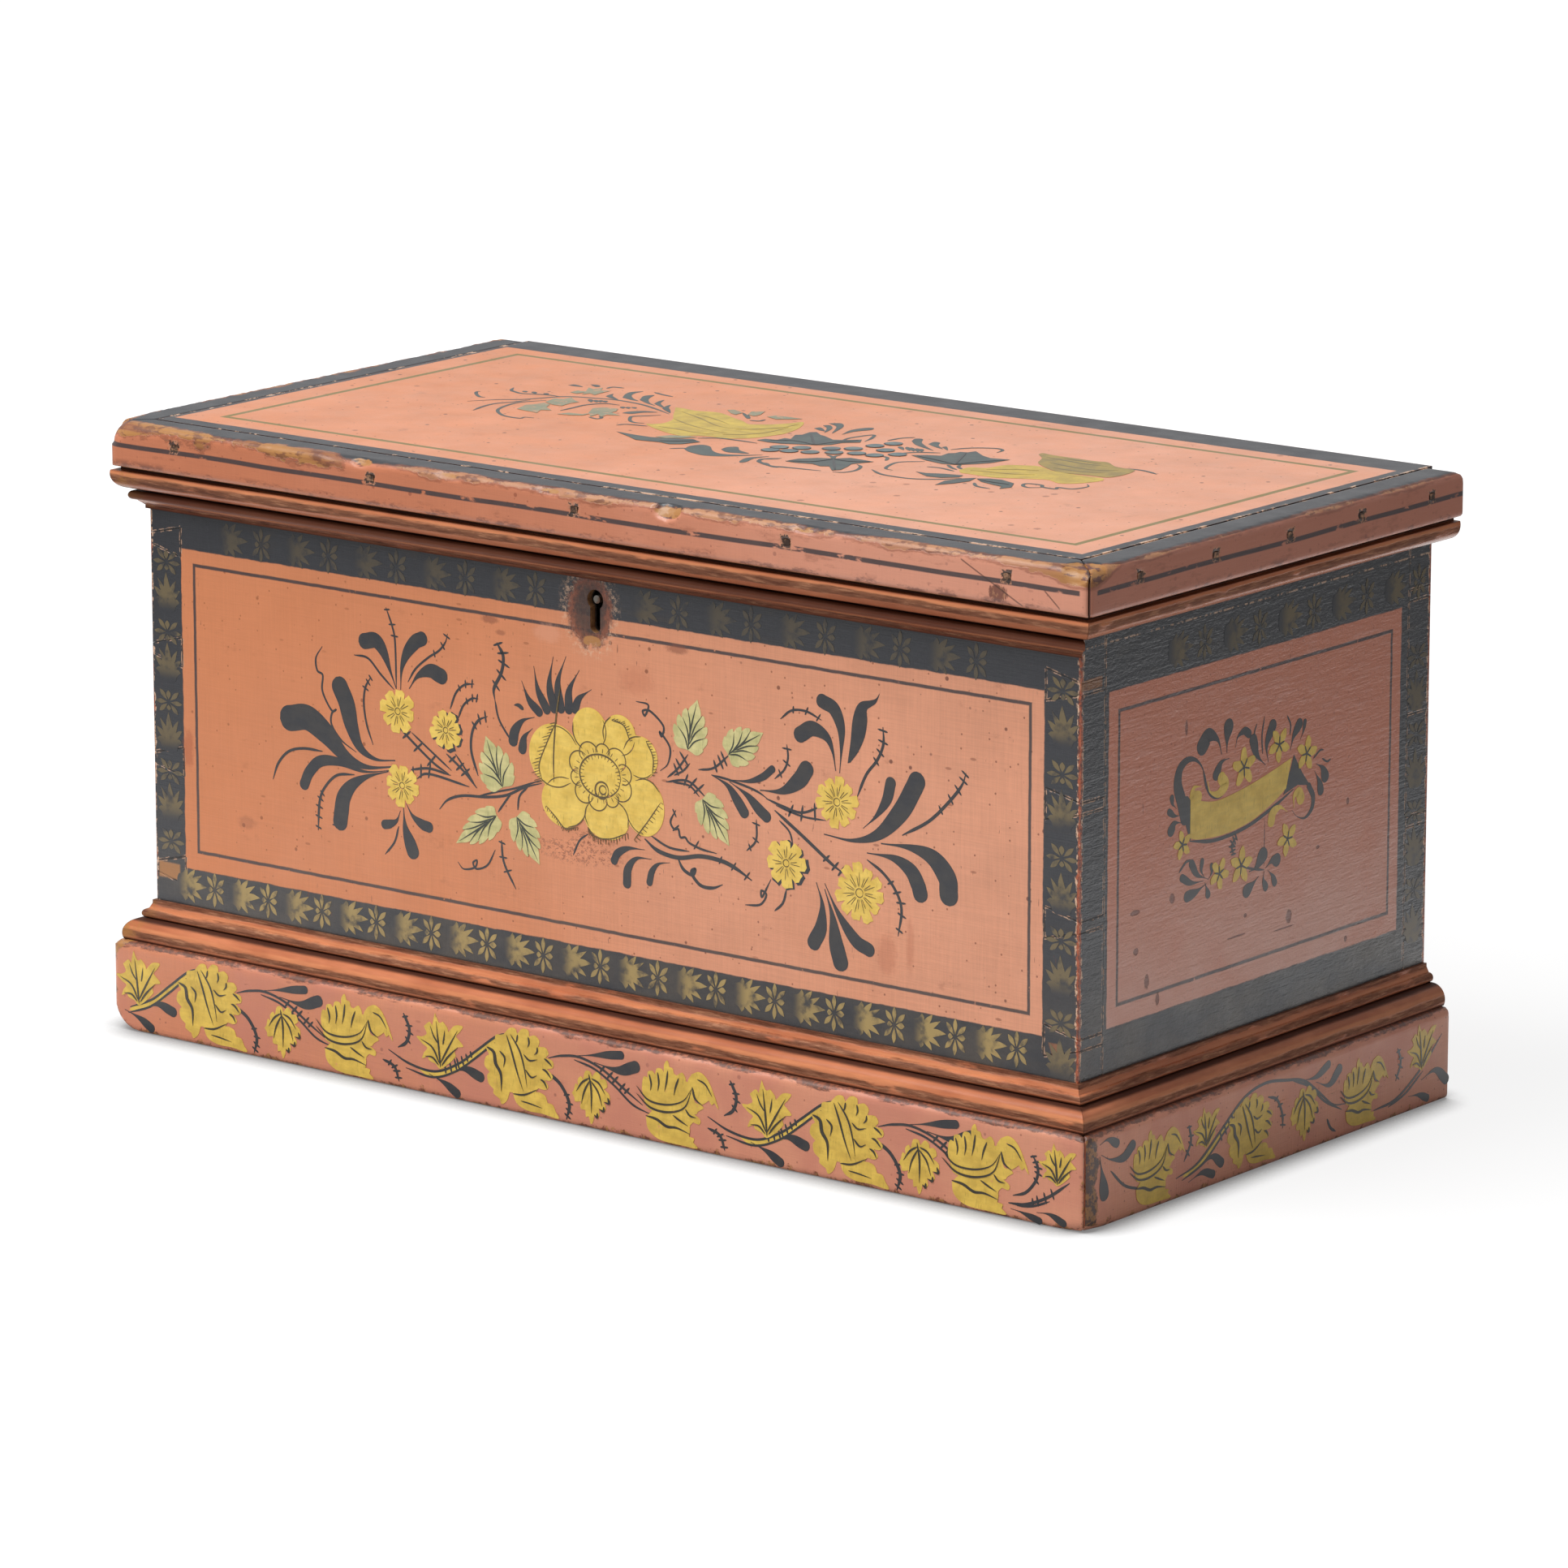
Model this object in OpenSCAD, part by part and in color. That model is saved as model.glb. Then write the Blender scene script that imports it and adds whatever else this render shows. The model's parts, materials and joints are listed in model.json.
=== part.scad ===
// Painted document box: a dovetailed case on a nailed plinth, a lid edged with
// mitred strips, a pair of iron butt hinges and a half-mortise chest lock.
// Millimetres. +X runs along the front, +Y to the back, +Z up. The origin is
// under the middle of the case, on the plane that the box stands on.

/* [Case] */
// Outside width of the dovetailed case
case_w = 460; // [380:5:640]
// Outside depth of the dovetailed case
case_d = 230; // [180:5:340]
// Height of the four case boards
case_h = 220; // [160:5:320]
// Thickness of the front and back boards
front_t = 15; // [14:0.5:20]
// Thickness of the two end boards
end_t = 16; // [12:0.5:20]
// Thickness of the bottom board
bottom_t = 12; // [8:0.5:16]

/* [Dovetails] */
// Height between neighbouring pins
pin_pitch = 45; // [36:1:56]
// From the top of the boards down to the middle of the first pin
pin_first = 30; // [24:1:36]
// Width of a pin at the corner of the case
pin_tip = 4.4; // [3:0.2:8]
// Spread of a pin for each millimetre into the corner
pin_slope = 0.24; // [0.15:0.01:0.3]
// Height of the half pins at the top and bottom edges
half_pin = 3; // [2:0.5:5]
// Gap left along the sloping sides of the pins
pin_gap = 0.1; // [0.05:0.05:0.2]

/* [Plinth and base moulding] */
// Height of the plinth
plinth_h = 37; // [28:0.5:50]
// Thickness of the plinth
plinth_t = 13; // [11.5:0.5:18]
// Rounding along the top outer edge of the plinth
plinth_round = 3; // [1:0.5:5]
// Height of the large round of the base moulding
base_round_h = 8.5; // [7:0.5:10]
// Radius of the large round of the base moulding
base_round_r = 6; // [5:0.25:6.75]
// How far the large round stands out from the case
base_round_out = 10.3; // [9:0.1:11]
// How far the small bead above it stands out from the case
base_bead_out = 4.6; // [3.8:0.1:5.4]

/* [Case bead] */
// Height of a small bead with its slope and fillet
bead_h = 7.4; // [6.6:0.1:8.6]
// Radius of the nose of a small bead
bead_r = 1.9; // [1.5:0.1:2.1]
// Height and width of the fillet beside a small bead
fillet = 1.4; // [1:0.1:1.8]
// How far the bead under the lid stands out from the case
case_bead_out = 6.3; // [4.5:0.1:7]

/* [Lid] */
// Thickness of the lid board and its edge strips
lid_t = 18; // [15:0.5:22]
// How far the edge strips stand out past the case
lid_out = 12.5; // [12:0.5:16]
// Width of the edge strips, from front to back
strip_w = 14.5; // [13.5:0.5:17]
// Rounding along the top outer edge of the strips
strip_round = 3; // [1:0.5:5]
// How far the lid overhangs the back of the case
lid_back = 3; // [2.4:0.1:3.2]
// Height of the round moulding hung below the strips
drip_h = 9.6; // [9:0.1:11]
// Radius of that round moulding
drip_r = 6; // [5.5:0.1:6.4]
// How far that round moulding stands out from the case
drip_out = 11.3; // [10.6:0.1:11.8]
// Height of the quirk between the strip and the round moulding
quirk_h = 2; // [1:0.1:2.4]
// Gap between the case and the moulding that laps it
lap_gap = 0.8; // [0.5:0.1:1.2]
// Crack left between the lid board and its strips
strip_gap = 0.3; // [0.1:0.05:0.4]
// Gap between the hanging moulding and the case bead
drip_gap = 0.9; // [0.8:0.1:1.5]

/* [Wear] */
// Open joint of the mitres
mitre_gap = 0.2; // [0.1:0.05:0.3]
// Rounding of the two front corners of plinth and lid
corner_round = 2; // [1:0.5:4]

/* [Hinges] */
// Distance from the end of the case to the middle of a hinge
hinge_inset = 90; // [60:5:120]
// Length of a hinge along its pin
hinge_l = 40; // [32:1:52]
// Width of a leaf from the pin to its edge
leaf_w = 13; // [11:0.5:14]
// Thickness of a leaf
leaf_t = 1.5; // [1.2:0.1:2]
// Outer radius of the knuckles
knuckle_r = 3; // [2.7:0.1:3.2]
// Radius of the hinge pin
hinge_pin_r = 1.3; // [1:0.1:1.5]
// How far the pin lies behind the back board
hinge_out = 0.9; // [0.85:0.05:1.2]
// Radial play between pin and knuckle
pin_play = 0.05; // [0.02:0.01:0.08]
// Gap between neighbouring knuckles
knuckle_gap = 0.3; // [0.2:0.05:0.4]

/* [Lock] */
// Width of the lock plate
lock_w = 60; // [56:1:80]
// Height of the lock plate
lock_h = 44; // [42:1:56]
// Thickness of the lock plate
lock_plate_t = 1.6; // [1.2:0.1:2]
// Width of the lock box let into the front board
lock_box_w = 46; // [44:1:50]
// Height of the lock box below the top edge
lock_box_h = 40; // [38:1:42]
// Depth of the lock box from the inner face of the front board
lock_depth = 12; // [11.5:0.25:12.5]
// Wall of the lock box
lock_wall = 1; // [0.8:0.1:1.2]
// Height of the key pin below the top of the case
key_drop = 26; // [25:0.5:28]
// Radius of the round eye of the keyhole
eye_r = 4; // [3.4:0.1:4.4]
// Width of the slot of the keyhole
slot_w = 5; // [4.4:0.1:5.4]
// Length of the slot below the middle of the eye
slot_l = 13; // [9:0.5:13.5]
// Radius of the key pin
key_pin_r = 1.6; // [1.2:0.1:2]
// Height of the bolt
bolt_h = 6; // [5:0.25:7]
// Thickness of the bolt
bolt_t = 3.4; // [2.8:0.1:3.6]
// Travel of the bolt when it is thrown
bolt_throw = 7; // [5.5:0.25:8]
// Thickness of the staple that the bolt passes through
staple_t = 3; // [2.5:0.1:3.4]

/* [Fasteners] */
// Length of the cut nails
nail_l = 32; // [28:1:36]
// Width of a nail head
nail_head = 3.4; // [3:0.1:4.2]
// Thickness of a cut nail
nail_t = 2.2; // [1.6:0.1:2.6]
// Radius of a screw head
screw_head_r = 2.6; // [2.3:0.1:2.9]
// Radius of a screw shank
screw_r = 1.3; // [1:0.1:1.4]
// Length of a screw in the hinges
screw_l = 12; // [9:0.5:13]
// Length of a screw in the lock and strike
lock_screw_l = 9; // [7:0.5:10]
// Play around a screw in its hole
screw_play = 0.05; // [0.02:0.01:0.1]

/* [Hidden] */
$fn = 48;
fit_gap = 0.15;          // play round a piece that slides or is let in
reach = 30;              // how far the mitre cuts reach from the case corner
over = 1;                // extra length of a cut past the face it opens
half_w = case_w / 2;
half_d = case_d / 2;
case_top = bottom_t + case_h;
inner_y = -half_d + front_t;         // inner face of the front board
moulding_z = plinth_h + base_round_h;
base_top = moulding_z + bead_h;
bead_top = case_top - drip_h - drip_gap;
lid_top = case_top + lid_t;
lid_in = strip_w - lid_out;          // how far a strip covers the case wall
lid_half_w = half_w - lid_in - strip_gap;   // half width of the lid board
lid_front = -half_d + lid_in + strip_gap;   // front edge of the lid board
lid_rear = half_d + lid_back;
axis_y = half_d + hinge_out;
hinge_x = half_w - hinge_inset;
pin_low = 2 * half_pin + pin_first / 2;
pin_count = floor((case_h - pin_first - pin_low) / pin_pitch) + 1;
knuckle_l = (hinge_l - 2 * knuckle_gap) / 3;
key_z = case_top - key_drop;
bolt_z = case_top - 14.5;            // lower edge of the bolt
bolt_y = inner_y - 5.5;              // middle of the bolt
bolt_tip = 7.5;                      // tip of the withdrawn bolt
bolt_tail = -12 - bolt_throw;        // the thrown bolt still fills its rear guide
staple_x = bolt_tip + 1.5;           // near face of the staple
staple_w = bolt_t + 3.6;
eye_w = bolt_t + 0.6;
eye_h = bolt_h + 0.6;
staple_l = case_top - bolt_z + 3;
strike_x = staple_x + staple_t / 2;
strike_l = 36;
strike_w = 13;
strike_t = leaf_t;
strike_y = inner_y - 9;              // front edge of the strike plate
salmon = [0.78, 0.44, 0.33];
rust = [0.62, 0.30, 0.20];
charcoal = [0.16, 0.17, 0.19];
bare_wood = [0.66, 0.50, 0.33];
iron = [0.27, 0.26, 0.26];

// Straight runs: a profile is drawn as (out from the case, up) and swept along a side.

module along_front() {
    translate([0, -half_d, 0]) mirror([0, 1, 0]) rotate([90, 0, 90])
        linear_extrude(case_w + 2 * reach, center = true) children();
}

module along_end(rear) {
    translate([half_w, rear, 0]) rotate([90, 0, 0])
        linear_extrude(rear + half_d + reach) children();
}

// Plan of a front run between its two mitres.
module front_wedge() {
    far = half_w + reach - mitre_gap;
    near = half_w - reach - mitre_gap;
    polygon([
        [far, -half_d - reach], [near, -half_d + reach],
        [-near, -half_d + reach], [-far, -half_d - reach],
    ]);
}

// Plan of an end run from its front mitre to its rear end.
module end_wedge(rear) {
    polygon([[half_w + reach, -half_d - reach], [half_w + reach, rear],
        [half_w - reach, rear], [half_w - reach, -half_d + reach]]);
}

// Outline seen from above with the two front corners worn round.
module worn_plan(out, rear) {
    w = half_w + out;
    d = half_d + out;
    r = corner_round;
    translate([-w, -d + r]) square([2 * w, d - r + rear]);
    translate([-w + r, -d]) square([2 * (w - r), 2 * r]);
    for (side = [-1, 1]) translate([side * (w - r), -d + r]) circle(r);
}

module tall() {
    translate([0, 0, -over]) linear_extrude(lid_top + 2 * over) children();
}

module front_run() {
    intersection() {
        along_front() children();
        tall() front_wedge();
    }
}

module end_run(side, rear) {
    mirror([side < 0 ? 1 : 0, 0, 0]) intersection() {
        along_end(rear) children();
        tall() end_wedge(rear);
    }
}

module worn_front_run(out, rear) {
    intersection() {
        front_run() children();
        tall() worn_plan(out, rear);
    }
}

module worn_end_run(side, out, rear) {
    intersection() {
        end_run(side, rear) children();
        tall() worn_plan(out, rear);
    }
}

// Moulding profiles

// A slab from u0 to u1 whose outer edges are rounded at the top and the foot.
module slab_profile(u0, u1, h, top_r, foot_r) {
    translate([u0, 0]) square([u1 - u0 - max(top_r, foot_r), h]);
    translate([u0, foot_r]) square([u1 - u0, h - top_r - foot_r]);
    translate([u1 - top_r, h - top_r]) circle(top_r);
    translate([u1 - foot_r, foot_r]) circle(foot_r);
    translate([u0, h - 2 * top_r]) square([u1 - u0 - top_r, 2 * top_r]);
    translate([u0, 0]) square([u1 - u0 - foot_r, 2 * foot_r]);
}

// A large round over a flat seat, standing out by out and clipped to its height.
module round_profile(u0, out, r, h) {
    intersection() {
        translate([u0, 0]) square([out, h]);
        union() {
            translate([u0, 0]) square([out - r - u0, h]);
            translate([out - r, h - r]) circle(r);
        }
    }
}

// A small round nose, a slope running back from it, and a fine fillet.
module bead_profile(out) {
    slope_z = 1.8 * bead_r;
    square([out - bead_r, 2 * bead_r]);
    translate([out - bead_r, bead_r]) circle(bead_r);
    polygon([[0, slope_z], [out - bead_r, slope_z], [fillet, bead_h - fillet],
        [fillet, bead_h], [0, bead_h]]);
}

module base_moulding_profile() {
    translate([0, plinth_h]) round_profile(0, base_round_out, base_round_r, base_round_h);
    translate([0, moulding_z]) bead_profile(base_bead_out);
}

module case_bead_profile() {
    translate([0, bead_top]) mirror([0, 1]) bead_profile(case_bead_out);
}

module lid_moulding_profile() {
    translate([0, case_top - quirk_h]) mirror([0, 1])
        round_profile(lap_gap, drip_out, drip_r, drip_h - quirk_h);
    translate([lap_gap, case_top - quirk_h - over])
        square([drip_out - drip_r + quirk_h, quirk_h + over]);
}

module plinth_profile() {
    slab_profile(0, plinth_t, plinth_h, plinth_round, plinth_round / 2);
}

module lid_strip_profile() {
    translate([0, case_top]) slab_profile(-lid_in, lid_out, lid_t, strip_round, strip_round / 3);
}

// Fasteners: each is drawn with its head at the origin, driven towards -Z.

module cut_nail(l) {
    head_h = 1.2;
    shank = nail_head * 0.7;
    tip = shank * 0.45;
    translate([0, nail_t / 2, 0]) rotate([90, 0, 0]) linear_extrude(nail_t)
        polygon([[-nail_head / 2, 0], [nail_head / 2, 0], [nail_head / 2, -head_h],
            [shank / 2, -head_h], [tip / 2, -l], [-tip / 2, -l],
            [-shank / 2, -head_h], [-nail_head / 2, -head_h]]);
}

module screw_body(l, play) {
    head_h = screw_head_r - screw_r;
    translate([0, 0, -head_h])
        cylinder(h = head_h, r1 = screw_r + play, r2 = screw_head_r + play);
    translate([0, 0, -l]) cylinder(h = l - head_h / 2, r = screw_r + play);
}

module screw(l) {
    slot_d = 0.6;
    difference() {
        screw_body(l, 0);
        translate([-screw_head_r - over, -slot_d / 2, -slot_d])
            cube([2 * (screw_head_r + over), slot_d, slot_d + over]);
    }
}

function spread(n, span) = [for (i = [0 : n - 1]) -span / 2 + i * span / (n - 1)];

lid_nail_z = case_top + lid_t * 0.62;
lid_nail_front = spread(5, case_w - 50);
lid_nail_end = spread(5, case_d - 38);
plinth_nail_z = plinth_h * 0.62;
plinth_nail_front = spread(5, case_w - 70);
plinth_nail_end = spread(3, case_d - 70);
bottom_nail_front = spread(4, case_w - 90);
bottom_nail_end = spread(2, case_d - 90);

module strip_nails() {
    for (x = lid_nail_front) translate([x, -half_d - lid_out, lid_nail_z])
        rotate([90, 0, 0]) cut_nail(nail_l);
    for (side = [-1, 1], y = lid_nail_end) translate([side * (half_w + lid_out), y, lid_nail_z])
        rotate([90, 0, side * 90]) cut_nail(nail_l);
}

module skirt_nails() {
    short = plinth_t + min(front_t, end_t) - 4;
    for (x = plinth_nail_front) translate([x, -half_d - plinth_t, plinth_nail_z])
        rotate([90, 0, 0]) cut_nail(short);
    for (side = [-1, 1], y = plinth_nail_end) translate([side * (half_w + plinth_t), y, plinth_nail_z])
        rotate([90, 0, side * 90]) cut_nail(short);
}

module floor_nails() {
    for (side = [-1, 1], x = bottom_nail_front) translate([x, side * (half_d - front_t / 2), 0])
        rotate([180, 0, 0]) cut_nail(nail_l);
    for (side = [-1, 1], y = bottom_nail_end) translate([side * (half_w - end_t / 2), y, 0])
        rotate([180, 0, 90]) cut_nail(nail_l);
}

// Dovetailed case: the front and back carry the tails, the ends carry the pins.

// Outline of the pins at the right-hand corner, drawn as (x, z).
module pin_outlines(gap) {
    xi = half_w - end_t;
    tip = pin_tip / 2 - gap;
    root = tip + pin_slope * end_t;
    for (i = [0 : pin_count - 1]) translate([0, case_top - pin_first - i * pin_pitch])
        polygon([[xi, -root], [half_w, -tip], [half_w, tip], [xi, root]]);
    edge = half_pin - gap;
    edge_root = edge + pin_slope * end_t;
    polygon([[xi, case_top - edge_root], [half_w, case_top - edge], [half_w, case_top], [xi, case_top]]);
    polygon([[xi, bottom_t], [half_w, bottom_t], [half_w, bottom_t + edge], [xi, bottom_t + edge_root]]);
}

// The pins of one corner, across the thickness of the tail board.
module corner_pins(gap, extra) {
    translate([0, half_d + (gap > 0 ? 0 : over), 0]) rotate([90, 0, 0])
        linear_extrude(front_t + extra + (gap > 0 ? 0 : over)) pin_outlines(gap);
}

module tail_board() {
    difference() {
        translate([-half_w, half_d - front_t, bottom_t]) cube([case_w, front_t, case_h]);
        for (side = [0, 1]) mirror([side, 0, 0]) corner_pins(0, over);
        floor_nails();
    }
}

module end_board() {
    difference() {
        union() {
            translate([half_w - end_t, -half_d + front_t, bottom_t])
                cube([end_t, case_d - 2 * front_t, case_h]);
            for (side = [0, 1]) mirror([0, side, 0]) corner_pins(pin_gap, over);
        }
        floor_nails();
        skirt_nails();
    }
}

module keyhole_profile() {
    circle(eye_r);
    translate([-slot_w / 2, -slot_l + slot_w / 2]) square([slot_w, slot_l - slot_w / 2]);
    translate([0, -slot_l + slot_w / 2]) circle(slot_w / 2);
}

// The keyhole, cut from the outer face of the front board to a depth.
module keyhole(depth) {
    translate([0, -half_d + depth, key_z]) rotate([90, 0, 0]) linear_extrude(depth + over) keyhole_profile();
}

// Space that the lock takes up in the front board.
module lock_mortise() {
    translate([-lock_box_w / 2, inner_y - lock_depth, case_top - lock_box_h])
        cube([lock_box_w, lock_depth + over, lock_box_h + over]);
    translate([-lock_w / 2, inner_y - lock_plate_t, case_top - lock_h])
        cube([lock_w, lock_plate_t + over, lock_h + over]);
    translate([-lock_w / 2, inner_y - lock_depth, case_top - lock_plate_t])
        cube([lock_w, lock_depth + over, lock_plate_t + over]);
}

module front_board() {
    color(charcoal) difference() {
        mirror([0, 1, 0]) tail_board();
        lock_mortise();
        keyhole(front_t);
        at_lock_screws() screw_body(lock_screw_l, screw_play);
        skirt_nails();
    }
}

module back_board() {
    color(rust) difference() {
        tail_board();
        for (side = [-1, 1]) translate([side * hinge_x, 0, 0]) {
            leaf_gain(-leaf_t, leaf_t + over);
            knuckle_notch();
            at_leaf_screws() screw_body(screw_l, screw_play);
        }
    }
}

module left_board() { color(charcoal) mirror([1, 0, 0]) end_board(); }

module right_board() { color(charcoal) end_board(); }

module bottom_board() {
    color(bare_wood) difference() {
        translate([-half_w, -half_d, 0]) cube([case_w, case_d, bottom_t]);
        floor_nails();
    }
}

// Plinth, base moulding and case bead

module plinth_front() {
    color(salmon) difference() {
        worn_front_run(plinth_t, half_d) plinth_profile();
        skirt_nails();
    }
}

module plinth_end(side) {
    color(salmon) difference() {
        worn_end_run(side, plinth_t, half_d) plinth_profile();
        skirt_nails();
    }
}

module base_moulding_front() { color(rust) front_run() base_moulding_profile(); }

module base_moulding_end(side) { color(rust) end_run(side, half_d) base_moulding_profile(); }

module case_bead_front() { color(rust) front_run() case_bead_profile(); }

module case_bead_left() { color(rust) end_run(-1, half_d) case_bead_profile(); }

// Lid

module lid_board() {
    color(salmon) difference() {
        translate([-lid_half_w, lid_front, case_top]) cube([2 * lid_half_w, lid_rear - lid_front, lid_t]);
        for (side = [-1, 1]) translate([side * hinge_x, 0, 0]) {
            leaf_gain(-over, leaf_t + over);
            knuckle_notch();
            at_leaf_screws() mirror([0, 0, 1]) screw_body(screw_l, screw_play);
        }
        translate([strike_x - strike_l / 2, strike_y, case_top - over])
            cube([strike_l, strike_w, strike_t + over]);
        at_strike_screws() screw_body(lock_screw_l, screw_play);
        strip_nails();
    }
}

module lid_strip_front() {
    color(salmon) difference() {
        worn_front_run(lid_out, lid_rear) lid_strip_profile();
        strip_nails();
    }
}

module lid_strip_end(side) {
    color(salmon) difference() {
        worn_end_run(side, lid_out, lid_rear) lid_strip_profile();
        strip_nails();
    }
}

module lid_moulding_front() { color(rust) front_run() lid_moulding_profile(); }

module lid_moulding_end(side) { color(rust) end_run(side, lid_rear) lid_moulding_profile(); }

module lid_nails() { color(iron) strip_nails(); }

module plinth_nails() { color(iron) skirt_nails(); }

module bottom_nails() { color(iron) floor_nails(); }

// Hinges, drawn at x = 0 with the pin along X at the top edge of the back board

module along_pin(x0, l, r) {
    translate([x0, axis_y, case_top]) rotate([0, 90, 0]) cylinder(h = l, r = r);
}

// Shallow pocket for a leaf, from dz above the top of the case.
module leaf_gain(dz, h) {
    translate([-hinge_l / 2, axis_y - leaf_w, case_top + dz]) cube([hinge_l, leaf_w + over, h]);
}

module knuckle_notch() {
    along_pin(-hinge_l / 2 - fit_gap, hinge_l + 2 * fit_gap, knuckle_r + knuckle_gap);
}

module at_leaf_screws() {
    for (x = spread(3, hinge_l * 0.66)) translate([x, axis_y - leaf_w * 0.6, case_top]) children();
}

module case_leaf() {
    mid = knuckle_l / 2;
    difference() {
        union() {
            translate([-hinge_l / 2, axis_y - leaf_w, case_top - leaf_t]) cube([hinge_l, leaf_w, leaf_t]);
            for (x0 = [-hinge_l / 2, mid + knuckle_gap]) along_pin(x0, knuckle_l, knuckle_r);
        }
        along_pin(-mid - knuckle_gap, knuckle_l + 2 * knuckle_gap, knuckle_r + knuckle_gap);
        along_pin(-hinge_l / 2 - over, hinge_l + 2 * over, hinge_pin_r + pin_play);
        at_leaf_screws() screw_body(screw_l, screw_play);
    }
}

module lid_leaf() {
    mid = knuckle_l / 2;
    difference() {
        union() {
            translate([-hinge_l / 2, axis_y - leaf_w, case_top]) cube([hinge_l, leaf_w, leaf_t]);
            along_pin(-mid, knuckle_l, knuckle_r);
        }
        for (x0 = [-hinge_l / 2 - over, mid])
            along_pin(x0, knuckle_l + knuckle_gap + over, knuckle_r + knuckle_gap);
        along_pin(-hinge_l / 2 - over, hinge_l + 2 * over, hinge_pin_r + pin_play);
        at_leaf_screws() mirror([0, 0, 1]) screw_body(screw_l, screw_play);
    }
}

module hinge_case_leaf(side) { color(iron) translate([side * hinge_x, 0, 0]) case_leaf(); }

module hinge_lid_leaf(side) { color(iron) translate([side * hinge_x, 0, 0]) lid_leaf(); }

module hinge_pin(side) {
    color(iron) translate([side * hinge_x, 0, 0]) along_pin(-hinge_l / 2, hinge_l, hinge_pin_r);
}

module hinge_case_screws() {
    color(iron) for (side = [-1, 1]) translate([side * hinge_x, 0, 0]) at_leaf_screws() screw(screw_l);
}

module hinge_lid_screws() {
    color(iron) for (side = [-1, 1]) translate([side * hinge_x, 0, 0])
        at_leaf_screws() mirror([0, 0, 1]) screw(screw_l);
}

// Lock and strike

module at_lock_screws() {
    for (x = [-1, 1], z = [6, lock_h - 5]) translate([x * (lock_box_w + lock_w) / 4, inner_y, case_top - z])
        rotate([-90, 0, 0]) children();
}

// Plate against the inner face, flange over the top edge, and the two bolt guides.
module lock_plate() {
    guide_t = 3;
    guide_d = bolt_y - bolt_t / 2 - 1.5;
    color(iron) difference() {
        union() {
            translate([-lock_w / 2, inner_y - lock_plate_t, case_top - lock_h])
                cube([lock_w, lock_plate_t, lock_h]);
            translate([-lock_w / 2, inner_y - lock_depth, case_top - lock_plate_t])
                cube([lock_w, lock_depth, lock_plate_t]);
            for (x = [-15, 1.5]) translate([x, guide_d, bolt_z - 2])
                cube([guide_t, inner_y - lock_plate_t - guide_d + fit_gap, bolt_h]);
        }
        translate([bolt_tail - over, bolt_y - bolt_t / 2 - fit_gap, bolt_z - fit_gap])
            cube([staple_x - bolt_tail, bolt_t + 2 * fit_gap, bolt_h + 2 * fit_gap]);
        translate([staple_x - 0.6, bolt_y - staple_w / 2 - 1.2, case_top - 2 * lock_plate_t])
            cube([staple_t + 1.2, staple_w + 1.4, 3 * lock_plate_t]);
        translate([0, inner_y, key_z]) rotate([90, 0, 0])
            cylinder(h = 3 * lock_plate_t, r = key_pin_r + screw_play, center = true);
        at_lock_screws() screw_body(lock_screw_l, screw_play);
    }
}

// Five-sided cover round the works, let into the front board.
module lock_box() {
    color(iron) difference() {
        translate([-lock_box_w / 2, inner_y - lock_depth, case_top - lock_box_h])
            cube([lock_box_w, lock_depth - lock_plate_t, lock_box_h - lock_plate_t]);
        translate([-lock_box_w / 2 + lock_wall, inner_y - lock_depth + lock_wall,
            case_top - lock_box_h + lock_wall]) cube([lock_box_w - 2 * lock_wall, lock_depth, lock_box_h]);
        keyhole(front_t - lock_depth + 2 * lock_wall);
    }
}

module lock_bolt() {
    talon = 5;
    color(iron) translate([0, bolt_y, bolt_z]) difference() {
        translate([bolt_tail, -bolt_t / 2, 0]) cube([bolt_tip - bolt_tail, bolt_t, bolt_h]);
        translate([-talon - 3, -bolt_t, -over]) cube([talon, 2 * bolt_t, bolt_h * 0.4 + over]);
    }
}

// Bowed flat spring between the flange and the top of the bolt.
module lock_spring() {
    half = 12;
    strip = 0.6;
    rise = case_top - lock_plate_t - (bolt_z + bolt_h) - 2 * fit_gap - strip;
    bow_r = (half * half + rise * rise) / (2 * rise);
    color(iron) translate([-6, bolt_y + bolt_t / 2, bolt_z + bolt_h + fit_gap]) rotate([90, 0, 0])
        linear_extrude(bolt_t) intersection() {
            translate([-half, 0]) square([2 * half, rise + strip]);
            translate([0, bow_r]) difference() {
                circle(bow_r, $fn = 96);
                circle(bow_r - strip, $fn = 96);
            }
        }
}

module key_pin() {
    color(iron) translate([0, inner_y, key_z]) rotate([90, 0, 0]) cylinder(h = front_t - 1, r = key_pin_r);
}

module lock_screws() { color(iron) at_lock_screws() screw(lock_screw_l); }

module at_strike_screws() {
    for (x = [-1, 1]) translate([strike_x + x * strike_l / 3, strike_y + strike_w / 2, case_top])
        mirror([0, 0, 1]) children();
}

// Plate let into the underside of the lid, with the staple that hangs into the lock.
module strike_plate() {
    color(iron) difference() {
        union() {
            translate([strike_x - strike_l / 2, strike_y, case_top]) cube([strike_l, strike_w, strike_t]);
            translate([staple_x, bolt_y - staple_w / 2, case_top - staple_l])
                cube([staple_t, staple_w, staple_l + strike_t]);
        }
        translate([staple_x - over, bolt_y - eye_w / 2, bolt_z - 0.3])
            cube([staple_t + 2 * over, eye_w, eye_h]);
        at_strike_screws() screw_body(lock_screw_l, screw_play);
    }
}

module strike_screws() { color(iron) at_strike_screws() screw(lock_screw_l); }

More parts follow.
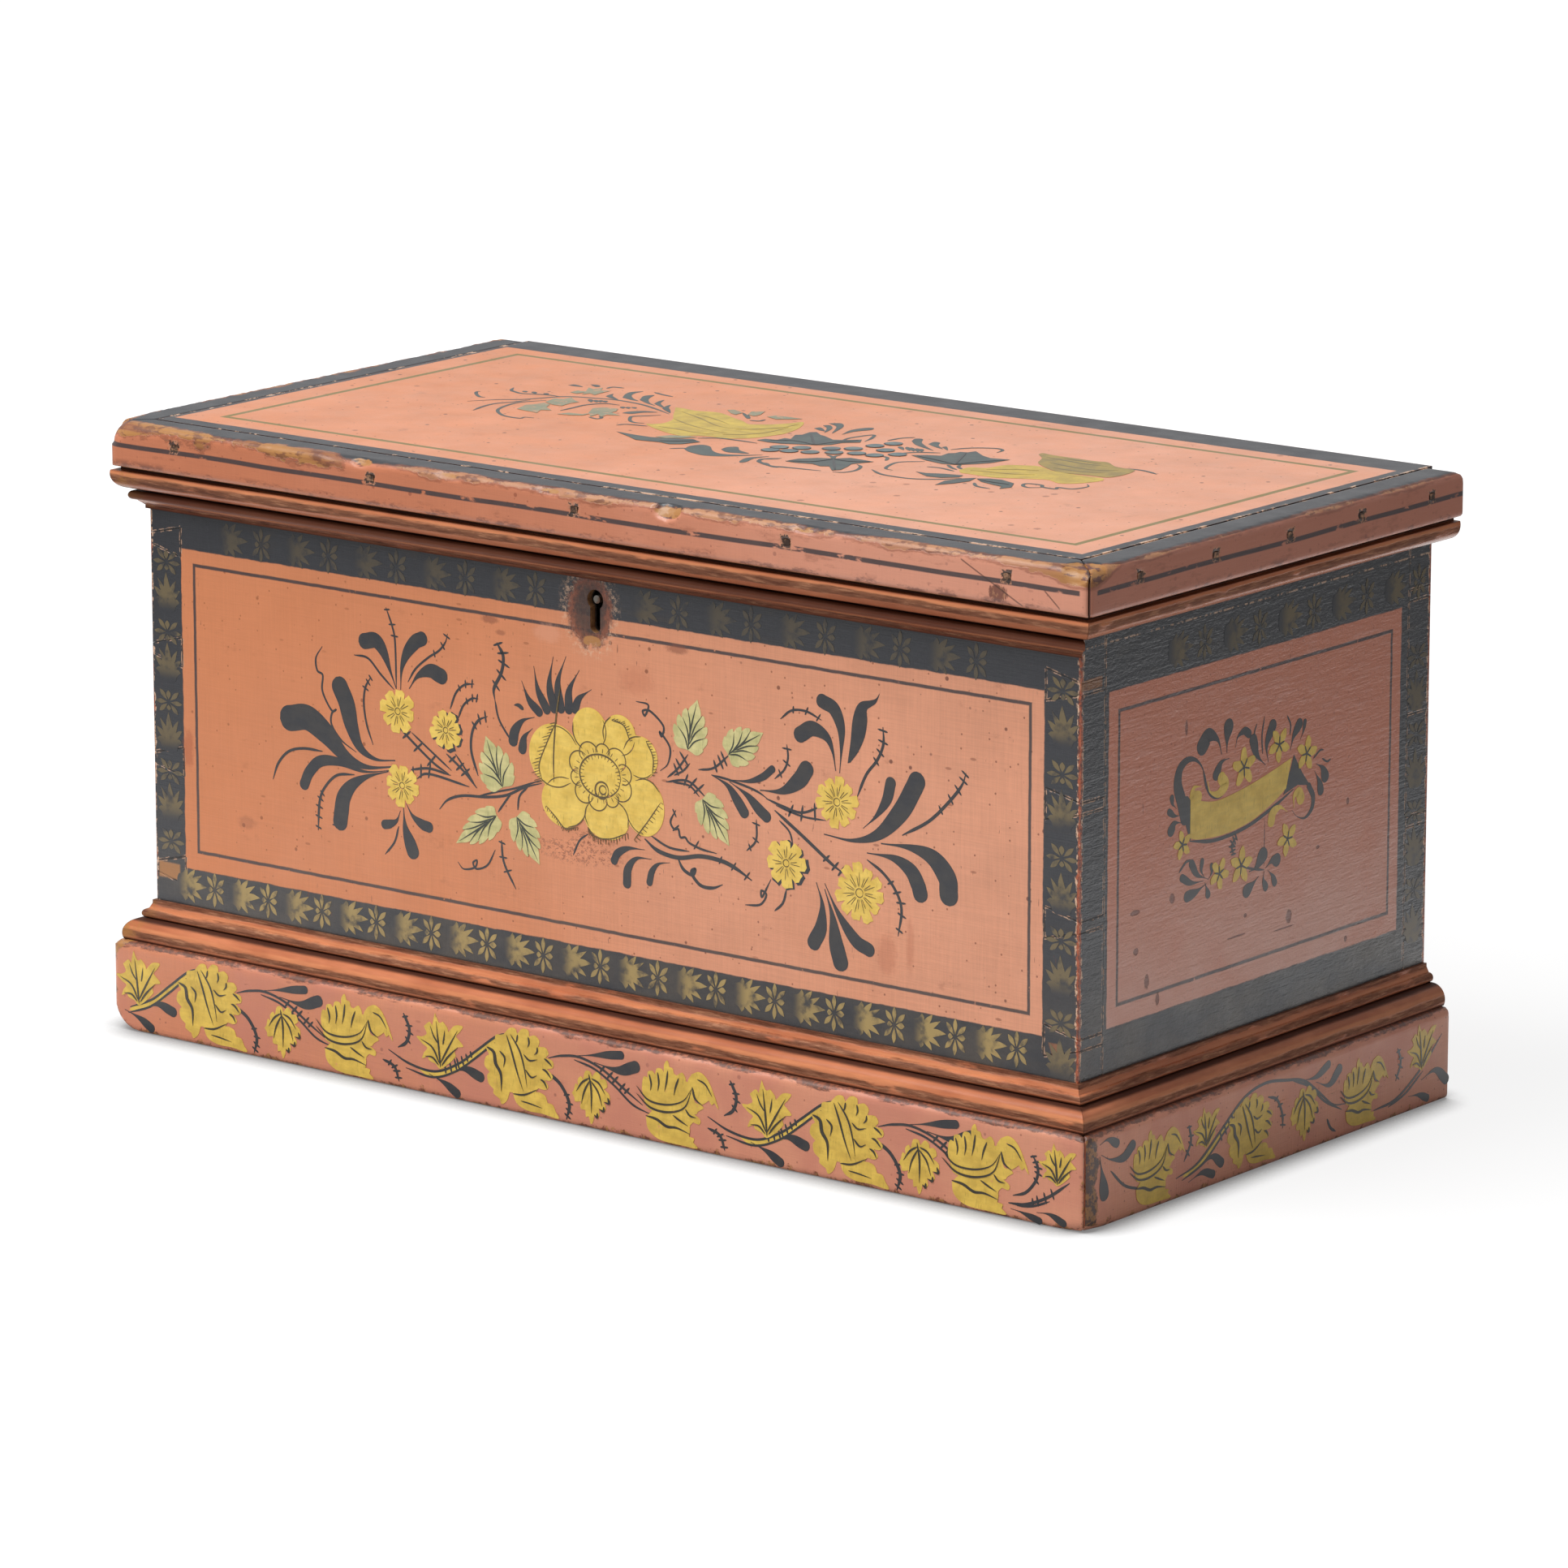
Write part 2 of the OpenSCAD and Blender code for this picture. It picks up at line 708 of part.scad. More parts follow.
front_board();
back_board();
left_board();
right_board();
bottom_board();
plinth_front();
plinth_end(-1);  // plinth_left
plinth_end(1);  // plinth_right
base_moulding_front();
base_moulding_end(-1);  // base_moulding_left
base_moulding_end(1);  // base_moulding_right
case_bead_front();
case_bead_left();
lid_board();
lid_strip_front();
lid_strip_end(-1);  // lid_strip_left
lid_strip_end(1);  // lid_strip_right
lid_moulding_front();
lid_moulding_end(-1);  // lid_moulding_left
lid_moulding_end(1);  // lid_moulding_right
lid_nails();
plinth_nails();
bottom_nails();
hinge_case_leaf(-1);  // hinge_case_leaf_left
hinge_case_leaf(1);  // hinge_case_leaf_right
hinge_lid_leaf(-1);  // hinge_lid_leaf_left
hinge_lid_leaf(1);  // hinge_lid_leaf_right
hinge_pin(-1);  // hinge_pin_left
hinge_pin(1);  // hinge_pin_right
hinge_case_screws();
hinge_lid_screws();
lock_plate();
lock_box();
lock_bolt();
lock_spring();
key_pin();
lock_screws();
strike_plate();
strike_screws();
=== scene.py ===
import json
import math

import bpy
from mathutils import Matrix, Vector, noise

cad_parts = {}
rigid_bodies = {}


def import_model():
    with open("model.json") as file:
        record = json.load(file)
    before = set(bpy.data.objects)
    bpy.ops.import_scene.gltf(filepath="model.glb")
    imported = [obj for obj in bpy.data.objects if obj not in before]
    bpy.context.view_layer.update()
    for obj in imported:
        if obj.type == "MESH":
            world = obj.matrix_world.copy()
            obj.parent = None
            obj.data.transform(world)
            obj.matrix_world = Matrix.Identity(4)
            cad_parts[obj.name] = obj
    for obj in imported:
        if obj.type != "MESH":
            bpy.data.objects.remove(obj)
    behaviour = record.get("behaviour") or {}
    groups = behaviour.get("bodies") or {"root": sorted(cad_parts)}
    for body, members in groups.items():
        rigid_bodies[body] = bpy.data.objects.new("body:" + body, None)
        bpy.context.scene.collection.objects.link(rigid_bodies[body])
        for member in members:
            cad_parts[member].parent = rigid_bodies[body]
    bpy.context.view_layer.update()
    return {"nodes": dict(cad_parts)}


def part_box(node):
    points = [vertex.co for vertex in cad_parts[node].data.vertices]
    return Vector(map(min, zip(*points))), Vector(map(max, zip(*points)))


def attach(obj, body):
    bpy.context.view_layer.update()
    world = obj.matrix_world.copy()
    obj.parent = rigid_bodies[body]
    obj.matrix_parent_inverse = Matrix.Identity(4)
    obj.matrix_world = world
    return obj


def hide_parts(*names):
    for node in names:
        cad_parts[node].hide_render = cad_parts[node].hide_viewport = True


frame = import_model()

nodes = frame["nodes"]
mm = 0.001
print("frame loaded with", len(nodes), "nodes")


def inMm(node, corner, axis):
    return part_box(node)[corner][axis] / mm


# the planes that carry paint, read from the frame, in millimetres
planes = {
    "front": inMm("front_board", 0, 1),
    "back": inMm("back_board", 1, 1),
    "end": inMm("right_board", 1, 0),
    "endInside": inMm("right_board", 0, 0),
    "caseFoot": inMm("front_board", 0, 2),
    "lidTop": inMm("lid_board", 1, 2),
    "lidUnder": inMm("lid_board", 0, 2),
    "lidFront": inMm("lid_strip_front", 0, 1),
    "lidEnd": inMm("lid_strip_right", 1, 0),
    "lidBack": inMm("lid_board", 1, 1),
    "plinthFront": inMm("plinth_front", 0, 1),
    "plinthEnd": inMm("plinth_right", 1, 0),
    "plinthTop": inMm("plinth_front", 1, 2),
}


def paint(r, g, b):
    # a colour as it is seen, 0 to 255, made linear for the shader
    made = []
    for part in (r, g, b):
        share = part / 255
        made.append(share / 12.92 if share < 0.04045 else ((share + 0.055) / 1.055) ** 2.4)
    return (*made, 1.0)


# colours of the paints and of the wood under them; a few stand for painted shade, highlight and reflection
seenTints = {
    "salmon": (222, 146, 106), "salmonWarm": (214, 132, 86), "salmonPink": (230, 164, 134),
    "frontWarm": (206, 120, 66), "endDeep": (198, 112, 90), "endPink": (222, 160, 144),
    "endSheen": (228, 178, 162), "fasciaDeep": (184, 104, 72), "fasciaPink": (214, 146, 124),
    "fasciaEnd": (164, 82, 60), "plinthPink": (202, 128, 106), "black": (43, 44, 49),
    "blackBrown": (58, 50, 44), "dustSheen": (92, 82, 70), "stencil": (180, 154, 96),
    "olive": (116, 106, 44), "bareWood": (176, 122, 66), "rawBrown": (132, 72, 48),
    "chip": (226, 186, 156), "burnt": (40, 28, 24), "grime": (62, 36, 28), "sootAndShade": (44, 20, 16),
    "crack": (22, 18, 17), "paintedHighlight": (222, 146, 102), "mould": (182, 106, 72),
    "mouldLight": (204, 126, 88), "worn": (112, 76, 58), "wornLight": (166, 120, 92),
    "inside": (172, 128, 86), "insideDark": (120, 82, 54), "copper": (170, 84, 50),
    "copperDark": (96, 48, 36), "rubbed": (158, 110, 76), "blushWood": (196, 140, 108),
}
tints = {name: paint(*seen) for name, seen in seenTints.items()}
# a distance in millimetres that no mark of the paint reaches
beyond = 50.0


class Reading:
    # a value that a node gives; plain arithmetic on it adds further nodes
    def __init__(self, finish, socket):
        self.finish = finish
        self.socket = socket

    def __add__(self, other):
        return self.finish.math("ADD", self, other)

    def __sub__(self, other):
        return self.finish.math("SUBTRACT", self, other)

    def __rsub__(self, other):
        return self.finish.math("SUBTRACT", other, self)

    def __mul__(self, other):
        return self.finish.math("MULTIPLY", self, other)

    def __truediv__(self, other):
        return self.finish.math("DIVIDE", self, other)

    def __abs__(self):
        return self.finish.math("ABSOLUTE", self)


class Graph:
    # the nodes of a material or of the world, by short names
    def __init__(self, owner):
        owner.use_nodes = True
        self.tree = owner.node_tree

    def add(self, kind, **settings):
        made = self.tree.nodes.new(kind)
        for key, value in settings.items():
            setattr(made, key, value)
        return made

    def wire(self, socket, value):
        # a reading is linked; a tint's name, a colour or a number is set
        if isinstance(value, Reading):
            self.tree.links.new(value.socket, socket)
        else:
            socket.default_value = tints[value] if isinstance(value, str) else value

    def read(self, made, values=(), output=0):
        # a node's output, with values given to its first inputs
        for socket, value in zip(made.inputs, values):
            self.wire(socket, value)
        return Reading(self, made.outputs[output])

    def vector(self, operation, *values, scale=None, output=0):
        made = self.add("ShaderNodeVectorMath", operation=operation)
        if scale is not None:
            self.wire(made.inputs["Scale"], scale)
        return self.read(made, values, output)

    def math(self, operation, *values):
        return self.read(self.add("ShaderNodeMath", operation=operation), values)

    def either(self, a, b):
        return self.math("MAXIMUM", a, b)

    def least(self, a, b):
        return self.math("MINIMUM", a, b)

    def blend(self, share, a, b, first=2, **settings):
        made = self.add("ShaderNodeMix", **settings)
        for place, value in ((0, share), (first, a), (first + 1, b)):
            self.wire(made.inputs[place], value)
        return made

    def parts(self, value):
        split = self.add("ShaderNodeSeparateXYZ")
        self.wire(split.inputs[0], value)
        return [Reading(self, socket) for socket in split.outputs]


class Finish(Graph):
    # one material of the box
    def __init__(self, name, roughness, specular=0.5, metallic=0.0):
        self.material = bpy.data.materials.new(name)
        super().__init__(self.material)
        self.shader = self.tree.nodes["Principled BSDF"]
        self.shader.inputs["Roughness"].default_value = roughness
        self.shader.inputs["Specular IOR Level"].default_value = specular
        self.shader.inputs["Metallic"].default_value = metallic
        where = self.read(self.add("ShaderNodeTexCoord"), output="Object")
        self.place = self.vector("SCALE", where, scale=1 / mm)
        self.x, self.y, self.z = self.parts(self.place)

    def step(self, value, low, high):
        # 0 at low, 1 at high, smooth between
        made = self.add("ShaderNodeMapRange", interpolation_type="SMOOTHSTEP")
        return self.read(made, (value, low, high))

    def near(self, value, place, half, soft):
        return self.step(abs(value - place), half + soft, half - soft)

    def spot(self, size, stretch, shift):
        return self.vector("MULTIPLY_ADD", self.place, tuple(1 / (size * part) for part in stretch), shift)

    def noise(self, size, stretch=(1, 1, 1), detail=3.0, rough=0.55, seed=0.0):
        made = self.add("ShaderNodeTexNoise")
        self.wire(made.inputs["Vector"], self.spot(size, stretch, (seed, seed * 1.7, seed * 0.6)))
        made.inputs["Scale"].default_value = 1.0
        made.inputs["Detail"].default_value = detail
        made.inputs["Roughness"].default_value = rough
        return self.read(made)

    def patches(self, low, high, *size, **settings):
        return self.step(self.noise(*size, **settings), low, high)

    def sway(self, amount, *size, **settings):
        # noise to both sides of 0
        return (self.noise(*size, **settings) - 0.5) * amount

    def specks(self, size, radius, stretch=(1, 1, 1), share=0.5, seed=0.0):
        # scattered dots, only some cells of the scatter filled
        made = self.add("ShaderNodeTexVoronoi")
        self.wire(made.inputs["Vector"], self.spot(size, stretch, (seed, seed, seed)))
        made.inputs["Scale"].default_value = 1.0
        dot = self.step(self.read(made, output="Distance"), radius, radius * 0.55)
        chance = self.parts(self.read(made, output="Color"))[0]
        return dot * self.step(chance, 1 - share, 1.02 - share)

    def mix(self, share, a, b):
        return self.read(self.blend(share, a, b, 6, data_type="RGBA"), output=2)

    def tone(self, colour, amount):
        # a grey amount, around 1, multiplied into a colour
        return self.vector("SCALE", colour, scale=amount)

    def done(self, colour, roughness=None, height=None, depth=0.1):
        self.wire(self.shader.inputs["Base Color"], colour)
        if roughness is not None:
            self.wire(self.shader.inputs["Roughness"], roughness)
        if height is not None:
            bump = self.add("ShaderNodeBump")
            bump.inputs["Strength"].default_value = 1.0
            bump.inputs["Distance"].default_value = depth * mm
            self.wire(bump.inputs["Height"], height)
            self.wire(self.shader.inputs["Normal"], self.read(bump))
        return self.material


def salmonGround(f):
    # brushed salmon paint: slow drift of colour, fine weave of the brush, dirt specks
    drift = f.noise(150, detail=2, seed=3)
    side = f.step(f.x, -240, 240)
    colour = f.mix(f.step(drift + side * 0.5, 0.3, 1.05), "salmonWarm", "salmonPink")
    colour = f.mix(0.35, colour, "salmon")
    across = f.noise(1.3, (14, 14, 0.35), seed=7)
    along = f.noise(1.3, (0.35, 0.35, 12), seed=9)
    weave = across + along
    blotch = f.noise(28, detail=5, rough=0.62, seed=5)
    colour = f.tone(colour, weave * 0.24 + (blotch * 0.34 + 0.59))
    rubbed = f.patches(0.6, 0.74, 9, (1.6, 1.6, 1), detail=6, rough=0.7, seed=4)
    colour = f.mix(rubbed * 0.3, colour, "rawBrown")
    colour = f.mix(f.specks(3.2, 0.17, share=0.3, seed=2) * 0.8, colour, "rawBrown")
    colour = f.mix(f.specks(6, 0.16, (1.9, 1.9, 0.7), share=0.16, seed=8) * 0.6, colour, "rawBrown")
    colour = f.mix(f.specks(9, 0.12, share=0.3, seed=6) * 0.85, colour, "copperDark")
    return colour, weave


def blackGround(f):
    # black border paint, thin in places
    thin = f.patches(0.58, 0.8, 9, (3, 3, 0.8), detail=5, seed=11)
    colour = f.mix(thin * 0.6, "black", "blackBrown")
    # paler and browner towards the foot, in patches: dust, and partly a painted reflection of the floor
    dustAndSheen = f.step(f.z, 110, 50) * f.patches(0.3, 0.7, 14, (2, 2, 1), detail=5, seed=13)
    colour = f.mix(dustAndSheen * 0.5, colour, "dustSheen")
    return f.tone(colour, f.noise(2.2, seed=12) * 0.5 + 0.75)


def woodGround(f, along="x", light="inside", dark="insideDark"):
    # aged wood: wandering rings and fine streaks, with the grain along one axis
    def stretch(long):
        return tuple(long if axis == along else 1 for axis in "xyz")

    rings = f.math("SINE", f.noise(30, stretch(9), detail=2, seed=21) * 48.0)
    streak = f.noise(1.2, stretch(48), detail=5, rough=0.65, seed=22)
    grain = rings * 0.16 + streak
    colour = f.mix(f.step(grain, 0.28, 0.86), light, dark)
    return f.tone(colour, f.noise(70, stretch(3), seed=23) * 0.4 + 0.8), grain


def frameMask(f, u, v, box):
    # how far a point is outside a box, in millimetres, less than 0 inside
    u0, u1, v0, v1 = box
    side = abs(u - (u0 + u1) / 2) - (u1 - u0) / 2
    rise = abs(v - (v0 + v1) / 2) - (v1 - v0) / 2
    return f.either(side, rise)


def ovalReach(f, u, v, u0, v0, ru, rv):
    # 0 in the middle of an oval, 1 on its edge
    a = (u - u0) / ru
    b = (v - v0) / rv
    return f.math("SQRT", a * a + b * b)


# painted fields and pinstripes, and the lines of the dovetails, in millimetres
panelLayout = {
    "frontField": (-214, 213.3, 68.4, 199.5),
    "frontStripe": (-207, 207, 76, 193.5),
    "endField": (-97.5, 95, 70, 198),
    "endStripe": (-91, 88.5, 78, 190),
    "stripe": 0.68,
    "pins": (202, 157, 112, 67),
    "pinTip": 2.2,
    "pinSlope": 0.24,
    "shoulder": 16,
    "tailEnd": 15,
}


def panelPaint(f, salmon, black, u, v, field, stripe):
    # black border, salmon field, black pinstripe
    wobble = f.sway(1.1, 7, detail=4, seed=31)
    bound = frameMask(f, u, v, panelLayout[field]) + wobble
    colour = f.mix(f.step(bound, 0.3, -0.3), black, salmon)
    line = abs(frameMask(f, u, v, panelLayout[stripe]) + wobble * 0.5)
    thick = panelLayout["stripe"]
    line = f.step(line, thick + 0.25, thick - 0.25) * f.patches(0.24, 0.34, 4, seed=35)
    return f.mix(line * 0.93, colour, black)


caseMarks = {
    # front: middle, half size, strength and colour of soft stains; middle and half size of scuffs
    "stains": [(-53, 191.5, 4.6, 1.8, 0.6, "rawBrown"), (-47.6, 187, 2.6, 1.2, 0.5, "rawBrown"),
               (40.3, 192, 5.8, 2.0, 0.6, "rawBrown"), (-211.6, 118, 3, 9, 0.5, "copper"),
               (20, 177, 9, 6, 0.22, "copper"), (141, 88, 5, 9, 0.3, "copper"),
               (152, 93, 2, 11, 0.28, "copper"), (-24, 190, 8, 4, 0.4, "salmonPink"),
               (-181, 92, 5, 3, 0.3, "rawBrown")],
    "scuffs": [(-9, 105.5, 23, 5.5), (-1, 112, 12, 3)],
    # front: burnt place round the keyhole and a raw spot in it; lowest pin and lowest tail
    "burnt": (-2.6, 201.5, 12.0, 15.5),
    "rawSpot": (-1.6, 189.6, 4.6, 2.2),
    "lowPin": ((-223, 5.6, 0.6), (66, 3.2, 0.5)),
    "lowTail": ((245.2, 2.4, 0.4), (63, 3.4, 0.4)),
    # right end: ridge of a lost bead, bare end of the top pin, middle and half size of dents
    "ridge": (216.8, 0.35, 0.15),
    "pinEnd": (203, 2.0, 0.3),
    "dents": [(-48, 176, 0.8, 3.0), (-80, 111, 3.0, 1.0), (-79, 96, 1.5, 1.2), (-72, 83, 1.4, 2.8),
              (-56, 112, 1.7, 2.0), (21, 90, 1.7, 2.6), (60, 128, 0.9, 1.4), (-8, 96, 1.0, 0.8),
              (4, 121, 0.4, 9.0), (-14, 89, 6, 0.35), (18, 86, 7, 0.3), (-65, 75, 1.2, 2.2),
              (60, 73.5, 1.0, 1.2), (40, 113.6, 1.4, 0.7)],
}


def endSalmon(f, salmon, streaks):
    # the ends are pinker, and paler towards the foot in patches: a painted reflection of the floor
    colour = f.mix(0.62, salmon, "endDeep")
    colour = f.mix(f.step(streaks, 0.5, 0.7) * 0.4, colour, "endPink")
    pale = f.step(f.z, 150, 60) * f.patches(0.2, 0.6, 50, seed=56)
    return f.mix(pale * 0.8, colour, "endSheen")


def jointGap(f, depth, inset, isEnd):
    # millimetres to the nearest line of a joint: slanted on the front, square on the ends
    layout = panelLayout
    tip, shoulder, tail = layout["pinTip"], layout["shoulder"], layout["tailEnd"]
    slant = depth * layout["pinSlope"] + tip
    frontLine = beyond
    endLine = beyond
    inPin = 0.0
    for pin in layout["pins"]:
        rise = abs(f.z - pin)
        frontLine = f.least(abs(rise - slant), frontLine)
        endLine = f.least(abs(rise - tip), endLine)
        inPin = f.either(f.step(rise, 6.2, 5.8), inPin)
    frontLine = frontLine + f.step(depth, shoulder - 0.1, shoulder + 0.2) * beyond
    frontLine = f.least(frontLine, abs(depth - shoulder) + (1 - inPin) * beyond)
    endLine = endLine + f.step(inset, tail - 0.1, tail + 0.2) * beyond
    endLine = f.least(endLine, abs(inset - tail))
    return f.mix(isEnd, frontLine, endLine)


def caseFinish():
    f = Finish("case_paint", 0.4)
    salmon, weave = salmonGround(f)
    black = blackGround(f)
    acrossX = abs(f.x)
    depth = planes["end"] - acrossX
    inset = planes["back"] - abs(f.y)
    isFront = f.step(f.y, planes["front"] + 0.3, planes["front"] + 0.1)
    isBack = f.step(f.y, planes["back"] - 0.3, planes["back"] - 0.1)
    isEnd = f.step(acrossX, planes["end"] - 0.3, planes["end"] - 0.1)
    onFace = f.either(isFront, isEnd)
    inside = planes["endInside"]
    sideways = f.step(acrossX, inside - 0.5, inside - 0.2)
    colour = f.mix(sideways, woodGround(f)[0], woodGround(f, "y")[0])
    colour = f.mix(isBack, colour, f.mix(0.35, salmon, "rawBrown"))
    warm = f.mix(f.step(f.x - f.z, 60, -380) * 0.5, salmon, "frontWarm")
    colour = f.mix(isFront, colour, panelPaint(f, warm, black, f.x, f.z, "frontField", "frontStripe"))
    streaks = f.noise(2.2, (1, 7, 0.8), detail=5, rough=0.6, seed=55)
    pink = endSalmon(f, salmon, streaks)
    colour = f.mix(isEnd, colour, panelPaint(f, pink, black, f.y, f.z, "endField", "endStripe"))
    # dovetail lines, with pale chips beside them
    wander = f.sway(0.9, 3, detail=4, seed=41)
    line = jointGap(f, depth, inset, isEnd) + wander
    chips = f.patches(0.46, 0.58, 2.6, seed=43)
    colour = f.mix(f.step(line, 0.85, 0.5) * chips * onFace * 0.9, colour, f.mix(0.3, "chip", "rawBrown"))
    crack = f.step(line, 0.45, 0.2) * onFace
    colour = f.mix(crack * 0.9, colour, "crack")
    # upright arrises rubbed to red brown, with pale broken edges
    ragged = f.noise(3.2, (1, 1, 2.2), detail=6, rough=0.75, seed=45) * 4.6 - 1.3
    edge = ragged - f.step(f.x, 0, -10) * 0.9 - f.either(depth, inset)
    edgeOn = onFace * f.step(f.z, planes["caseFoot"] + 30, planes["caseFoot"] + 34)
    fleck = f.noise(1.5, (1, 1, 1.8), detail=4, rough=0.7, seed=46)
    broken = f.mix(f.step(fleck, 0.42, 0.5), "copperDark", "copper")
    broken = f.mix(f.step(fleck, 0.6, 0.66), broken, "chip")
    colour = f.mix(f.step(edge, -0.9, -0.4) * edgeOn * chips, colour, "chip")
    colour = f.mix(f.step(edge, -0.3, 0.2) * edgeOn, colour, broken)
    # bare wood at the lowest pins, pale ridge where a bead once sat on the end
    across, up = caseMarks["lowPin"]
    lowPin = f.near(f.x, *across) * f.near(f.z + wander, *up) * isFront
    colour = f.mix(lowPin, colour, f.mix(fleck, "rubbed", "bareWood"))
    across, up = caseMarks["lowTail"]
    lowTail = f.near(f.x + f.z * 0.4, *across) * f.near(f.z, *up) * isFront
    colour = f.mix(lowTail * f.step(f.x, 215.2, 215.8), colour, f.mix(fleck, "copperDark", "rubbed"))
    ridge = f.near(f.z + wander * 0.6, *caseMarks["ridge"]) * isEnd * chips
    colour = f.mix(ridge * 0.7, colour, "chip")
    pinEnd = f.near(f.z + wander, *caseMarks["pinEnd"]) * f.step(f.y, -101.5, -102.5) * isEnd
    colour = f.mix(pinEnd * 0.75, colour, f.mix(fleck, "copperDark", "bareWood"))
    # burnt and rubbed patch round the keyhole, raw wood under it, pale crumbs at its rim
    crumble = f.noise(3.4, detail=7, rough=0.8, seed=47) - 0.5
    away = ovalReach(f, f.x, f.z, *caseMarks["burnt"]) + crumble * 0.9
    patch = f.step(away, 1.02, 0.8) * isFront
    rim = f.step(away, 1.36, 1.0) * isFront * f.patches(0.46, 0.6, 1.2, detail=5, rough=0.7, seed=49)
    raw = f.noise(2.0, (1, 1, 1.6), detail=6, rough=0.75, seed=48)
    bare = f.mix(f.step(raw, 0.36, 0.54), "grime", "rawBrown")
    bare = f.mix(f.step(raw, 0.6, 0.7), bare, "rubbed")
    bare = f.mix(f.step(away, 0.82, 0.5) * 0.85, bare, "burnt")
    reach = ovalReach(f, f.x, f.z, *caseMarks["rawSpot"])
    bare = f.mix(f.step(reach * reach + crumble * 1.2, 1.1, 0.7), bare, "bareWood")
    colour = f.mix(rim * 0.6, colour, "chip")
    colour = f.mix(patch * 0.94, colour, bare)
    # stains and scuffs on the front, dents on the end
    for *oval, strength, tint in caseMarks["stains"]:
        reach = ovalReach(f, f.x, f.z, *oval) + crumble * 1.6
        colour = f.mix(f.step(reach, 1.2, 0.5) * isFront * strength, colour, tint)
    crumbs = f.noise(1.1, (1.5, 1.5, 1), detail=5, rough=0.75, seed=50)
    for oval in caseMarks["scuffs"]:
        reach = ovalReach(f, f.x, f.z, *oval) + (raw - 0.5) * 1.6
        within = f.step(reach, 1.1, 0.6) * isFront
        colour = f.mix(within * f.step(crumbs, 0.5, 0.58) * 0.75, colour, "rawBrown")
        colour = f.mix(within * f.step(crumbs, 0.6, 0.66) * 0.8, colour, "salmonPink")
    dents = 0.0
    for oval in caseMarks["dents"]:
        reach = ovalReach(f, f.y, f.z, *oval) + crumble * 1.8
        dents = f.either(f.step(reach, 1.15, 0.8) * isEnd, dents)
    colour = f.mix(dents * 0.8, colour, "copperDark")
    # scratches and nicks
    nick = f.patches(0.735, 0.76, 2.2, (0.6, 0.6, 3.2), detail=2, seed=51)
    nick = nick * f.patches(0.5, 0.6, 40, detail=1, seed=52) * onFace
    colour = f.mix(nick * 0.6, colour, "copperDark")
    roughness = f.noise(12, detail=4, seed=53) * 0.22 + 0.3
    pebble = f.noise(1.3, (1.6, 1.6, 1), seed=54)
    height = weave * 0.4 + pebble * (isEnd * 1.3 + 0.3) + streaks * isEnd * 2.0
    height = height - (crack + (patch + dents)) * 1.3
    return f.done(colour, roughness, height, 0.16)


# places knocked out of the lid's edge: middle, reach on each axis, depth
lidChips = [(45, -127.5, 249, 7, 4, 4.5, 2.2), (-108, -127.5, 250, 6, 3, 3, 1.2),
            (-62, -127.5, 250, 9, 3, 2.6, 1.0), (-12, -127.5, 250, 8, 3, 2.4, 0.9),
            (112, -127.5, 250, 9, 3, 2.6, 1.0), (236, -122, 248, 8, 8, 6, 1.6)]
lidLayout = {
    "field": (-225, 222.5, -105, 101),
    "stripe": (-210, 210, -92, 90),
    "seam": (-227.8, 227.8, -112.8, 140),
}
fasciaMarks = {
    "line": (241.0, 0.95, 0.25),
    "rubbed": (201, 236.4, 4.6, 3.4),
    "scratches": [(184, 247, 212, 233), (222, 240, 229, 234)],
    "nailsFront": (-205, -102.5, 0, 102.5, 205), "nailsEnd": (-96, -48, 0, 48, 96), "nailLevel": 243.2,
}


def lidTopPaint(f, salmon, black):
    # black margin, salmon field, olive pinstripe
    wobble = f.sway(1.0, 8, detail=4, seed=61)
    field = frameMask(f, f.x, f.y, lidLayout["field"]) + wobble
    colour = f.mix(f.step(field, 0.3, -0.3), black, salmon)
    line = abs(frameMask(f, f.x, f.y, lidLayout["stripe"]) + wobble * 0.4)
    colour = f.mix(f.step(line, 1.7, 1.1) * 0.94, colour, "olive")
    # broken paint along the seam between board and strips
    seam = abs(frameMask(f, f.x, f.y, lidLayout["seam"]))
    broken = f.noise(6, detail=5, rough=0.72, seed=63)
    colour = f.mix(f.step(seam + (broken - 0.5) * 0.6, 1.0, 0.6) * 0.95, colour, "sootAndShade")
    patchy = f.step(f.x, 40, -60) + f.step(f.x, -215, -222)
    chipped = f.step(broken, f.least(patchy, 1.0) * 0.07 + 0.5, 0.6)
    seam = seam - 1.0 + (broken - 0.5) * 3.4
    return f.mix(f.step(seam, 0.9, 0.4) * chipped, colour, "chip")


